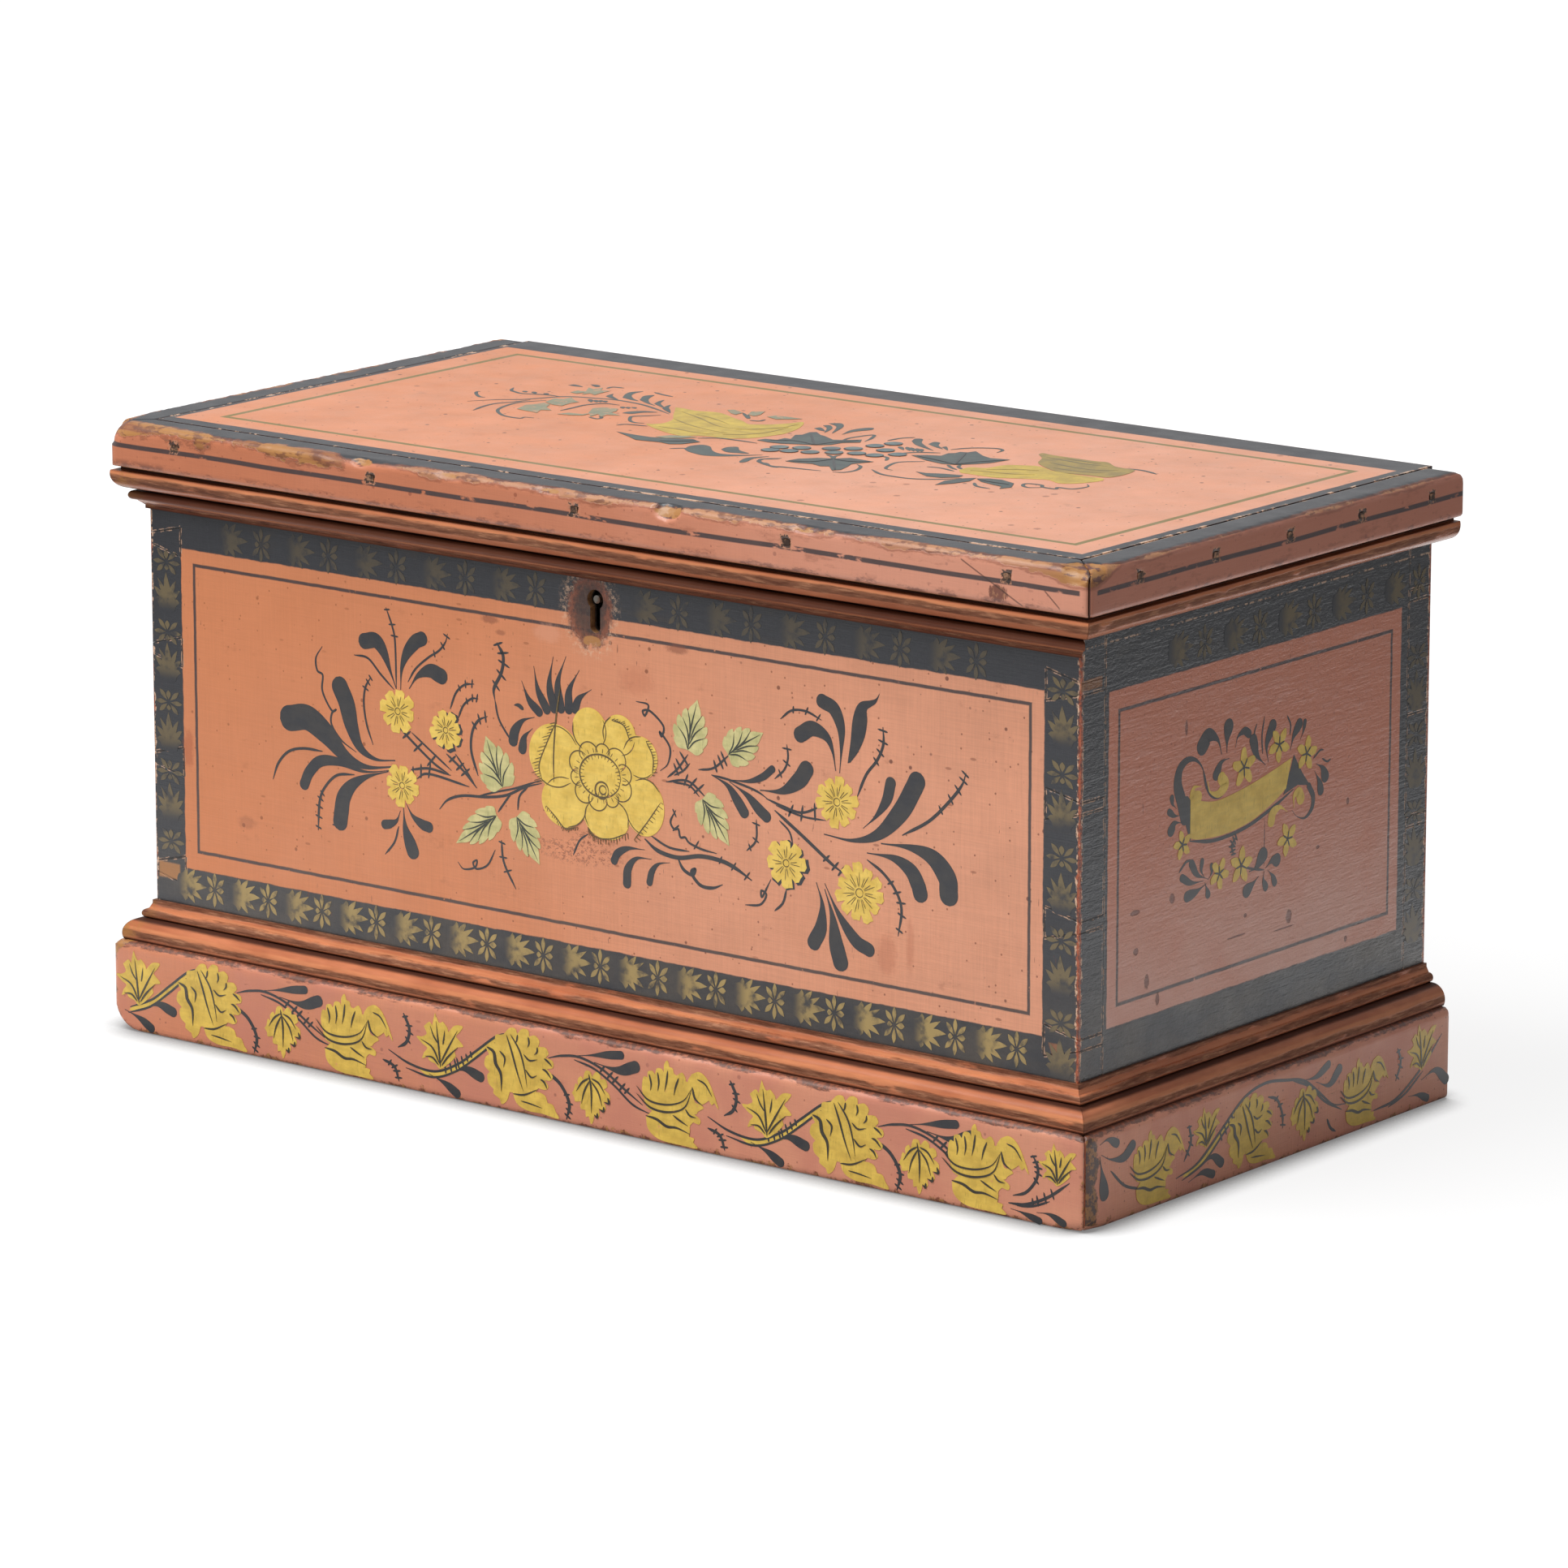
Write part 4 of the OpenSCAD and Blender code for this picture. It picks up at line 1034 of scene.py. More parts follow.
def stencilFinish(name, axis, start, pitch, strength, fade):
    # bronze powder over black, dusted softly at the back of each leaf
    f = Finish(name, 0.42)
    black = blackGround(f)
    along = {"x": f.x, "y": f.y, "z": f.z}[axis]
    place = f.math("WRAP", along + (-start - stencilCut["leafAt"] * pitch), pitch / 2, -pitch / 2)
    shown = f.patches(0.28, 0.56, 5, detail=5, seed=33) * (f.noise(38, detail=2, seed=37) * 0.8 + 0.55)
    if fade:
        shown = shown * f.either(f.step(place, -8.6, -1.4), f.step(abs(place), 9.6, 9.9))
    return f.done(f.mix(shown * strength, black, "stencil"))


def paintStencil(title, face, along, start, pitch, count, across, strength, fade):
    def turned(a, b):
        return (a, across + b) if along == "u" else (across - b, a)

    petals = []
    leaves = []
    gap = stencilCut["gap"]
    for i in range(count):
        at = start + i * pitch
        if title == stencilGaps["row"] and abs(at - stencilGaps["middle"]) < stencilGaps["half"]:
            continue
        for reach, width, angle in stencilCut["petals"]:
            a, b = math.cos(math.radians(angle)), math.sin(math.radians(angle))
            flat = []
            for far in (gap, (gap + reach) / 2, reach):
                flat += turned(at + a * far, b * far)
            petals.append(petal(width, *flat))
        if title == stencilGaps["bareStart"] and i == 0:
            continue
        moved = []
        for run in stencilCut["leaf"]:
            flat = []
            for k in range(0, len(run), 2):
                flat += turned(at + stencilCut["leafAt"] * pitch + run[k], run[k + 1])
            moved.append(flat)
        leaves.append(notched(moved, 3))
    axis = "z" if along == "v" else {"front": "x", "end": "y"}[face]
    finish = stencilFinish(title + "_stencil", axis, start, pitch, strength, fade)
    paintPiece(title + "_stencil", face, 1, petals, leaves, finish, True)


for title, row in stencilRows.items():
    paintStencil(title, *row)
print("stencil borders painted")

# front spray, millimetres from the middle of the front and up from the floor
frontSpray = {
    "commas": [
        (10.5, -102, 126, -117, 123.8, -128, 126.6, -137.5, 134, -147.5, 139.4, -156, 138.2),
        (8.4, -102, 128.5, -112, 127.6, -120, 131, -124.4, 139, -127, 148, -130, 153.6),
        (4.8, -104.4, 124.2, -118, 121.8, -131, 123.8, -141, 122.8, -147, 117.6, -149.6, 112.6),
        (7.4, -105.6, 123.6, -116.6, 120, -124.4, 115.6, -129, 110, -130.4, 104, -131, 100.4),
        (6.4, -101, 157.4, -104, 164, -107.6, 171.6, -111.6, 175.4, -116.6, 174.6),
        (5.8, -98.8, 157.4, -98.2, 165.6, -95.6, 172.2, -91.2, 177.4, -88.2, 179),
        (6.4, -94.4, 158.4, -90, 164, -83.6, 167, -78.4, 165.8),
        (3.8, -99.6, 108.6, -101.6, 104.4, -105, 102.6, -107.4, 102),
        (6.2, -98, 110, -97.2, 102.4, -94.8, 96.4, -93.6, 93.6),
        (4.4, -96.6, 112, -93.2, 107.4, -88.4, 104.8, -85.4, 104.2),
        (3.8, -37, 169.4, -33.4, 162.4, -28.6, 158.4), (3.9, -30.8, 176, -28.8, 167, -24.6, 160),
        (4, -21, 181, -23, 170, -20.8, 161), (4, -14.6, 182, -18.8, 171, -17.4, 161.4),
        (4, -8, 177.4, -13, 169, -13.4, 161.6), (3.6, -2, 170.6, -8, 166.4, -10.2, 162),
        (4.6, -30.6, 155.8, -36.6, 153.6, -40.4, 149.2, -41.4, 145.4),
        (4, -31.6, 151.2, -35.6, 147.4, -36.8, 142.6), (3.4, 24, 111.2, 16, 110.6, 10.8, 108, 9, 105),
        (4, 27.4, 108, 20, 107.2, 15.8, 102.6, 15.2, 97),
        (3, 36.4, 108, 30.8, 106.6, 27.6, 103.2, 26.4, 99),
        (4.6, 56.8, 145.4, 64.6, 142.4, 69.4, 137.2, 72.4, 133.4),
        (4.6, 65.6, 144, 74, 140, 80, 135.2, 83, 133.2),
        (3, 65, 144.8, 74.4, 145.4, 81.4, 148, 86, 151.6),
        (6.8, 80.4, 142.8, 91, 144, 99, 149.2, 102.2, 153.4),
        (6.2, 116.6, 155.4, 115, 163, 112, 168, 105.4, 170.2, 100.2, 167.4),
        (5.6, 118.4, 154.8, 119.2, 164, 119, 172.2, 115.8, 179, 110.6, 181.2),
        (4.8, 129.6, 135.2, 135.6, 140.6, 140.6, 147.6, 142.4, 154),
        (7.8, 111, 130.2, 125, 129.8, 137, 134, 147.2, 144, 153, 153.4, 154.4, 156),
        (8.6, 138, 130.6, 152, 131, 162.4, 128.6, 169, 122, 169.8, 116.4),
        (6.8, 131.4, 126, 143.8, 125.8, 151.8, 122.4, 155.4, 117.4, 156.4, 114.6),
        (6.2, 107.4, 111, 110.2, 103, 109.6, 93.8, 106.6, 88),
        (7.2, 111.4, 109, 115, 99.4, 116.8, 89, 118.8, 82.4),
        (5.4, 111.4, 111.2, 118, 100.4, 126, 91.4, 132, 88.8),
    ],
    "blades": [(1.8, -36, 158, -38.6, 159.4, -41, 159.2), (2, -130.6, 101, -132.4, 98.4, -135.4, 97.8)],
    "tendrils": [
        (1.1, -140, 126.9, -150, 126.7, -157.8, 124.4, -163.4, 118.9, -166.4, 111.8),
        (1.1, -123.4, 119.8, -132.2, 118.4, -138.4, 113.2, -141.8, 106.6, -142.8, 94.4),
        (0.9, -114.4, 160.2, -117.2, 155.6, -118, 149, -116.6, 141, -113.4, 133.2),
        (0.9, -139.4, 169.4, -142.8, 164.4, -142.2, 159.4, -139.4, 157.8, -139.8, 152.2, -137.8, 147.8,
         -134.6, 144, -132.6, 144.8, -134.8, 143, -135, 138.4, -130, 132.8, -122.2, 129),
        (0.9, -106, 189.4, -102.8, 182.2, -101.4, 175.6, -101, 157.8),
        (0.9, -95, 161, -91, 166.8, -84.4, 172.2, -79, 175.6, -75.6, 179.4, -74.4, 183),
        (0.9, -122.8, 168.2, -115.6, 167.8, -109, 162.2, -102.2, 157),
        (0.9, -100.6, 102.2, -102.8, 95.6, -107.8, 89.8), (1, -100, 142.2, -83.4, 131, -74.4, 127),
        (0.8, -93.4, 141, -82, 134, -73, 128.6), (1, -75.6, 135, -67, 129.4, -60, 123.4),
        (0.8, -71, 135.6, -65.4, 129.6, -60.4, 123.4), (1, -94, 126, -84.4, 127.8, -73.4, 126.6),
        (1, -91, 122.8, -84.4, 125.6, -64, 123.4),
        (0.9, -73.4, 153.2, -70.4, 160, -66, 163.8, -61, 164.8),
        (0.9, -69.4, 150, -66.6, 155.6, -62.4, 158.8, -59, 159.2),
        (1.2, -59.4, 128.4, -62.8, 137.8, -62.2, 145.6, -59, 150.6, -54.4, 152.8),
        (1.5, -49.4, 182.8, -46.2, 177.8, -47.2, 171.2, -51, 164.4, -50.6, 160),
        (0.9, -50.6, 160, -48.4, 152.2, -41.8, 144),
        (1.1, -79.4, 112.2, -75, 116.6, -67.2, 119.4, -55, 120.6, -45, 122.8, -36, 127.2, -27.2, 130),
        (0.8, -60, 120.2, -50, 123.4, -40.6, 126.2, -27.6, 131.2),
        (0.9, -49.4, 115.4, -45, 121, -42.8, 123.4), (0.9, -39.4, 117.6, -38.4, 123.4, -34, 127.8),
        (1, -47.8, 104.4, -46.6, 95.6, -40.6, 85.8),
        (0.8, -51, 100, -55, 93.4, -60.6, 91, -62.4, 93.2, -60.4, 94.4, -61.6, 91.4, -67.2, 90, -70.2,
         92.4),
        (0.9, 20, 169, 26, 168.4, 24.4, 164, 23.4, 165.8, 27.2, 166, 33.4, 161.2, 32.6, 157, 31.8, 158.6,
         36.6, 153.2, 35.6, 146.8, 31.8, 143.4),
        (1.7, 24, 115.6, 30.6, 111.8, 40.6, 110.6, 51.6, 112.8, 62, 112.4, 69, 110.4, 76.4, 107),
        (0.9, 27.2, 117.2, 36, 114, 46, 113.8),
        (0.9, 39.4, 129, 36.8, 124.4, 38.4, 121.6, 40.6, 121.8, 41.6, 118.8, 44, 119, 46, 117.2, 52,
         115.6, 59.4, 115),
        (1.4, 40, 111, 43, 106.4, 47.4, 104.8, 48.8, 107.2, 47, 106.2, 48, 104, 51.8, 101.2, 57.4, 101.2,
         62.2, 103.2),
        (0.8, -11.6, 103.8, -8.4, 110, -4, 113.4),
        (0.9, 87.4, 148.2, 92, 152.4, 93.8, 157.2, 93.2, 162.4),
        (1, 83.2, 140, 91, 138.2, 100.4, 137, 109.8, 140.8), (0.8, 88, 138, 100.4, 135.6, 112, 135.6),
        (1.4, 87.4, 136, 101.4, 127.6, 114.4, 119.4, 120.4, 116.4),
        (0.9, 35.3, 141.3, 40.3, 145.4, 45.4, 151.7), (0.8, 38.6, 142.6, 43, 145, 46.4, 148.4),
        (0.9, 50.5, 146.5, 58, 148.3, 65.6, 154.5), (0.9, 34.6, 139.5, 45.4, 141.3, 54.3, 136.1),
        (0.8, 38, 139.9, 46, 139.6, 51, 136), (0.9, 56.8, 145.4, 66, 144.6, 78, 142.4, 84, 140),
        (0.9, 90.2, 171.8, 95.6, 175.8, 102.6, 176.4, 109.8, 174),
        (1.2, 126.8, 147, 131, 156, 136.2, 162.4, 139, 168.8, 138.8, 175.4),
        (1.3, 148, 135.2, 160.4, 142.4, 169.8, 151.2, 175.6, 158.2, 177.6, 163.2),
        (1.2, 131.4, 123.4, 139, 119.4, 145, 113.4, 147.8, 106.4, 146.2, 96),
        (0.9, 73.2, 97, 80.4, 98.2, 83.4, 102.4, 81, 103.8, 81.4, 101.4, 85.6, 108.8),
        (1, 87.4, 96.8, 91.4, 100.6, 93.2, 106.4), (0.9, 73.8, 118.2, 78.4, 123, 78.6, 131.2),
        (0.8, 89.6, 132.4, 94.4, 128.8, 96.2, 124),
    ],
    "ticked": [
        (0.7, 0.3, 0.95, 5, 3, -138.4, 113.2, -141.8, 106.6, -142.8, 94.4),
        (0.7, 0.05, 0.5, 3, 2.8, -114.4, 160.2, -117.2, 155.6, -118, 149),
        (0.7, 0.1, 0.8, 3, 3, -106, 189.4, -102.8, 182.2, -101.4, 175.6),
        (0.7, 0.2, 0.9, 3, 3, -84.4, 172.2, -79, 175.6, -75.6, 179.4, -74.4, 183),
        (0.9, 0.15, 0.5, 3, 5.3, -100, 142.2, -83.4, 131, -74.4, 127),
        (0.9, 0.2, 0.6, 3, 4.4, -75.6, 135, -67, 129.4, -60, 123.4),
        (0.9, 0.1, 0.5, 3, 4.8, -94, 124.6, -84.4, 126.6, -73.4, 126),
        (0.7, 0.5, 0.95, 3, 2.8, -73.4, 153.2, -70.4, 160, -66, 163.8, -61, 164.8),
        (0.7, 0.5, 0.95, 3, 2.8, -69.4, 150, -66.6, 155.6, -62.4, 158.8, -59, 159.2),
        (0.8, 0.5, 0.95, 3, 3.7, -62.8, 137.8, -62.2, 145.6, -59, 150.6, -54.4, 152.8),
        (0.9, 0.05, 0.95, 5, 4.8, -49.4, 182.8, -46.2, 177.8, -47.2, 171.2, -51, 164.4),
        (0.7, 0.1, 0.7, 3, 3.4, -47.8, 104.4, -46.6, 95.6, -40.6, 85.8),
        (0.9, 0.45, 0.85, 3, 5, 35.3, 141.3, 40.3, 145.4, 45.4, 151.7),
        (0.9, 0.6, 0.86, 3, 4.8, 50.5, 146.5, 58, 148.3, 65.6, 154.5),
        (0.9, 0.45, 0.8, 3, 5, 34.6, 139.5, 45.4, 141.3, 54.3, 136.1),
        (0.9, 0.5, 0.9, 3, 5.3, 83.2, 139, 91, 137.4, 100.4, 136.4, 109.8, 138.6),
        (0.9, 0.6, 0.95, 3, 4.1, 87.4, 136, 101.4, 127.6, 114.4, 119.4, 120.4, 116.4),
        (0.8, 0.3, 0.95, 4, 3.7, 131, 156, 136.2, 162.4, 139, 168.8, 138.8, 175.4),
        (0.8, 0.4, 0.98, 5, 3.7, 148, 135.2, 160.4, 142.4, 169.8, 151.2, 175.6, 158.2, 177.6, 163.2),
        (0.8, 0.2, 0.95, 5, 3.4, 139, 119.4, 145, 113.4, 147.8, 106.4, 146.2, 96),
        (0.7, 0.4, 0.95, 3, 2.8, 90.2, 171.8, 95.6, 175.8, 102.6, 176.4, 109.8, 174),
        (0.7, 0.2, 0.9, 3, 3, 73.8, 118.2, 78.4, 123, 78.6, 131.2),
        (0.7, 0.1, 0.9, 3, 3.4, 39.4, 129, 36.8, 124.4, 44, 119, 52, 115.6),
        (0.7, 0.3, 0.9, 3, 3.4, 53, 112.8, 62, 112.4, 69, 110.4, 76.4, 107),
        (0.7, 0.2, 0.9, 3, 3.4, 87.4, 148.2, 92, 152.4, 93.8, 157.2, 93.2, 162.4),
    ],
    "stars": [
        (-100.4, 148.6, 8.8, 8), (-75.8, 144.4, 7.8, 8), (-98.5, 119, 8.4, 8), (117.2, 143.5, 9.8, 10),
        (93, 116.3, 9.3, 8), (128, 110, 11.2, 11),
    ],
    "leaves": [
        ((-46.8, 125.6), (-55.4, 145), 17.5), ((-50, 114), (-71, 99.8), 12.5),
        ((-40, 115), (-28.4, 97.4), 14), ((45.4, 153.4), (50.2, 173.8), 16.5),
        ((65, 154.4), (82, 165.3), 14.5), ((52.4, 135.4), (65.6, 118.8), 14),
    ],
    "rose": [
        (-20.4, 142, 13, 12.6), (-3, 154.6, 8.6, 8.8), (11.7, 154.4, 8.2, 8.2), (22, 147.2, 8.6, 8.4),
        (24, 127.9, 9.8, 11.4), (5.2, 121, 11.2, 8.6), (-15.8, 124.4, 11.4, 10.2),
    ],
    # turned edges of the petals, each with hatching to one side: line, then lean and length of the hatching
    "folds": [
        ((-19.8, 155.3, -24.2, 146.9, -28.3, 137.4, -26.8, 131.1), (-0.94, -0.34), 4),
        ((-24.9, 121.5, -19.8, 117.4, -15.4, 113.9, -9, 115.3), (-0.3, -0.9), 1.6),
        ((-4, 116.1, -0.2, 112.8, 7.4, 113.1, 15.7, 116.6), (0.1, -1), 2.6),
        ((18.8, 114.4, 25.2, 122, 32.1, 131), (0.8, -0.4), 2.6),
        ((8, 160, 14, 158.6, 17, 153), (0.9, 0.4), 2.4), ((25, 154, 28.4, 148, 28, 141), (1, 0.2), 2.2),
    ],
    "crack": (0.7, -17.3, 170, -19.6, 158, -21, 143, -21, 131.4),
    "heart": (1.5, 137.5),
    "ring": (2.2, 137.2, 10.2, 8.4),
    "eye": (3, 131.6),
    "fine": 0.28,
    "scallops": 10,
    "rays": 34,
    "shadowed": (1, 4),
    "flame": (
        122.2, 159.2, 123.6, 168, 124.4, 175.6, 126, 180.8, 128.4, 183.6, 132.6, 184.7, 135.5, 185.8,
        137.2, 188, 135.6, 184.2, 133, 182.2, 131.2, 180.6, 131.4, 176.4, 130.2, 170.2, 127.2, 164.2,
        123.5, 159.6,
    ),
}


def inkedRose(spray):
    # pen lines of the large flower: petal edges, turned edges with hatching, heart and eye
    lines = []
    heart = Vector(spray["heart"])
    for cu, cv, ru, rv in spray["rose"]:
        away = math.degrees(math.atan2(cv - heart.y, cu - heart.x))
        lines.append(ring(0.5, cu, cv, ru * 0.98, rv * 0.98, away + 62, away + 140))
        lines.append(ring(0.4, cu, cv, ru * 0.95, rv * 0.95, away - 140, away - 70))
    for flat, lean, reach in spray["folds"]:
        lines.append(tendril(0.5, *flat))
        for i, p in enumerate(sweep(flat, 6)):
            far = p + Vector(lean) * reach * (0.8 + 0.3 * math.sin(i * 1.9))
            lines.append(tendril(spray["fine"], *p, *far))
    lines.append(tendril(*spray["crack"]))
    cu, cv, ru, rv = spray["ring"]

    def ray(angle, near, farU, farV):
        # a fine line outward or inward from the ring of the heart
        a, b = ru * math.cos(angle), rv * math.sin(angle)
        return tendril(spray["fine"], cu + near * a, cv + near * b, cu + farU * a, cv + farV * b)

    lines.append(ring(0.7, cu, cv, ru, rv))
    for i in range(spray["scallops"]):
        away = 360 * i / spray["scallops"] + 12
        a, b = ru * math.cos(math.radians(away)), rv * math.sin(math.radians(away))
        size = 4.3 + 0.9 * math.sin(i * 2.2)
        lines.append(ring(0.5, cu + 1.12 * a, cv + 1.14 * b, size, size * 0.95, away - 108, away + 108))
        lines += [ray(math.radians(away + lean), 1.08, 1.28, 1.3) for lean in (-14, 0, 14)]
    for i in range(spray["rays"]):
        inner = 0.82 + 0.05 * math.sin(i * 2.7)
        lines.append(ray(2 * math.pi * i / spray["rays"], 0.98, inner, inner))
    u, v = spray["eye"]
    return lines + [ring(0.75, u, v, 3.3, 3.3), ring(0.6, u + 0.5, v + 0.2, 1.7, 1.7)]


def paintFrontSpray():
    spray = frontSpray
    strokes = [comma(*c) for c in spray["commas"]] + [blade(*b) for b in spray["blades"]]
    strokes += [tendril(*t) for t in spray["tendrils"]]
    for t in spray["ticked"]:
        strokes += ticks(*t)
    shade = [spray["stars"][k] for k in spray["shadowed"]]
    accents = [starShape(u + 0.9, v - 0.5, r * 1.04, n, u) for u, v, r, n in shade]
    accents.append([p[:] for p in sweep(spray["flame"], 4)])
    paintPiece("front_black_strokes", "front", 1, strokes, accents, films["black"])
    gold = [starShape(u, v, r, n, u) for u, v, r, n in spray["stars"]]
    gold.append(cloudShape(*spray["heart"], spray["rose"]))
    paintPiece("front_gold_flowers", "front", 2, [], gold, films["gold"])
    green = [leafShape(*leaf) for leaf in spray["leaves"]]
    paintPiece("front_green_leaves", "front", 2, [], green, films["green"])
    veins = []
    for leaf in spray["leaves"]:
        veins += leafVeins(*leaf, 0.62)
    paintPiece("front_leaf_veins", "front", 3, veins, [], films["greenPen"])
    lines = []
    for u, v, r, n in spray["stars"]:
        lines += starLines(u, v, r, n, u)
    paintPiece("front_pen_lines", "front", 3, lines + inkedRose(spray), [], films["pen"])


paintFrontSpray()
print("front spray painted")

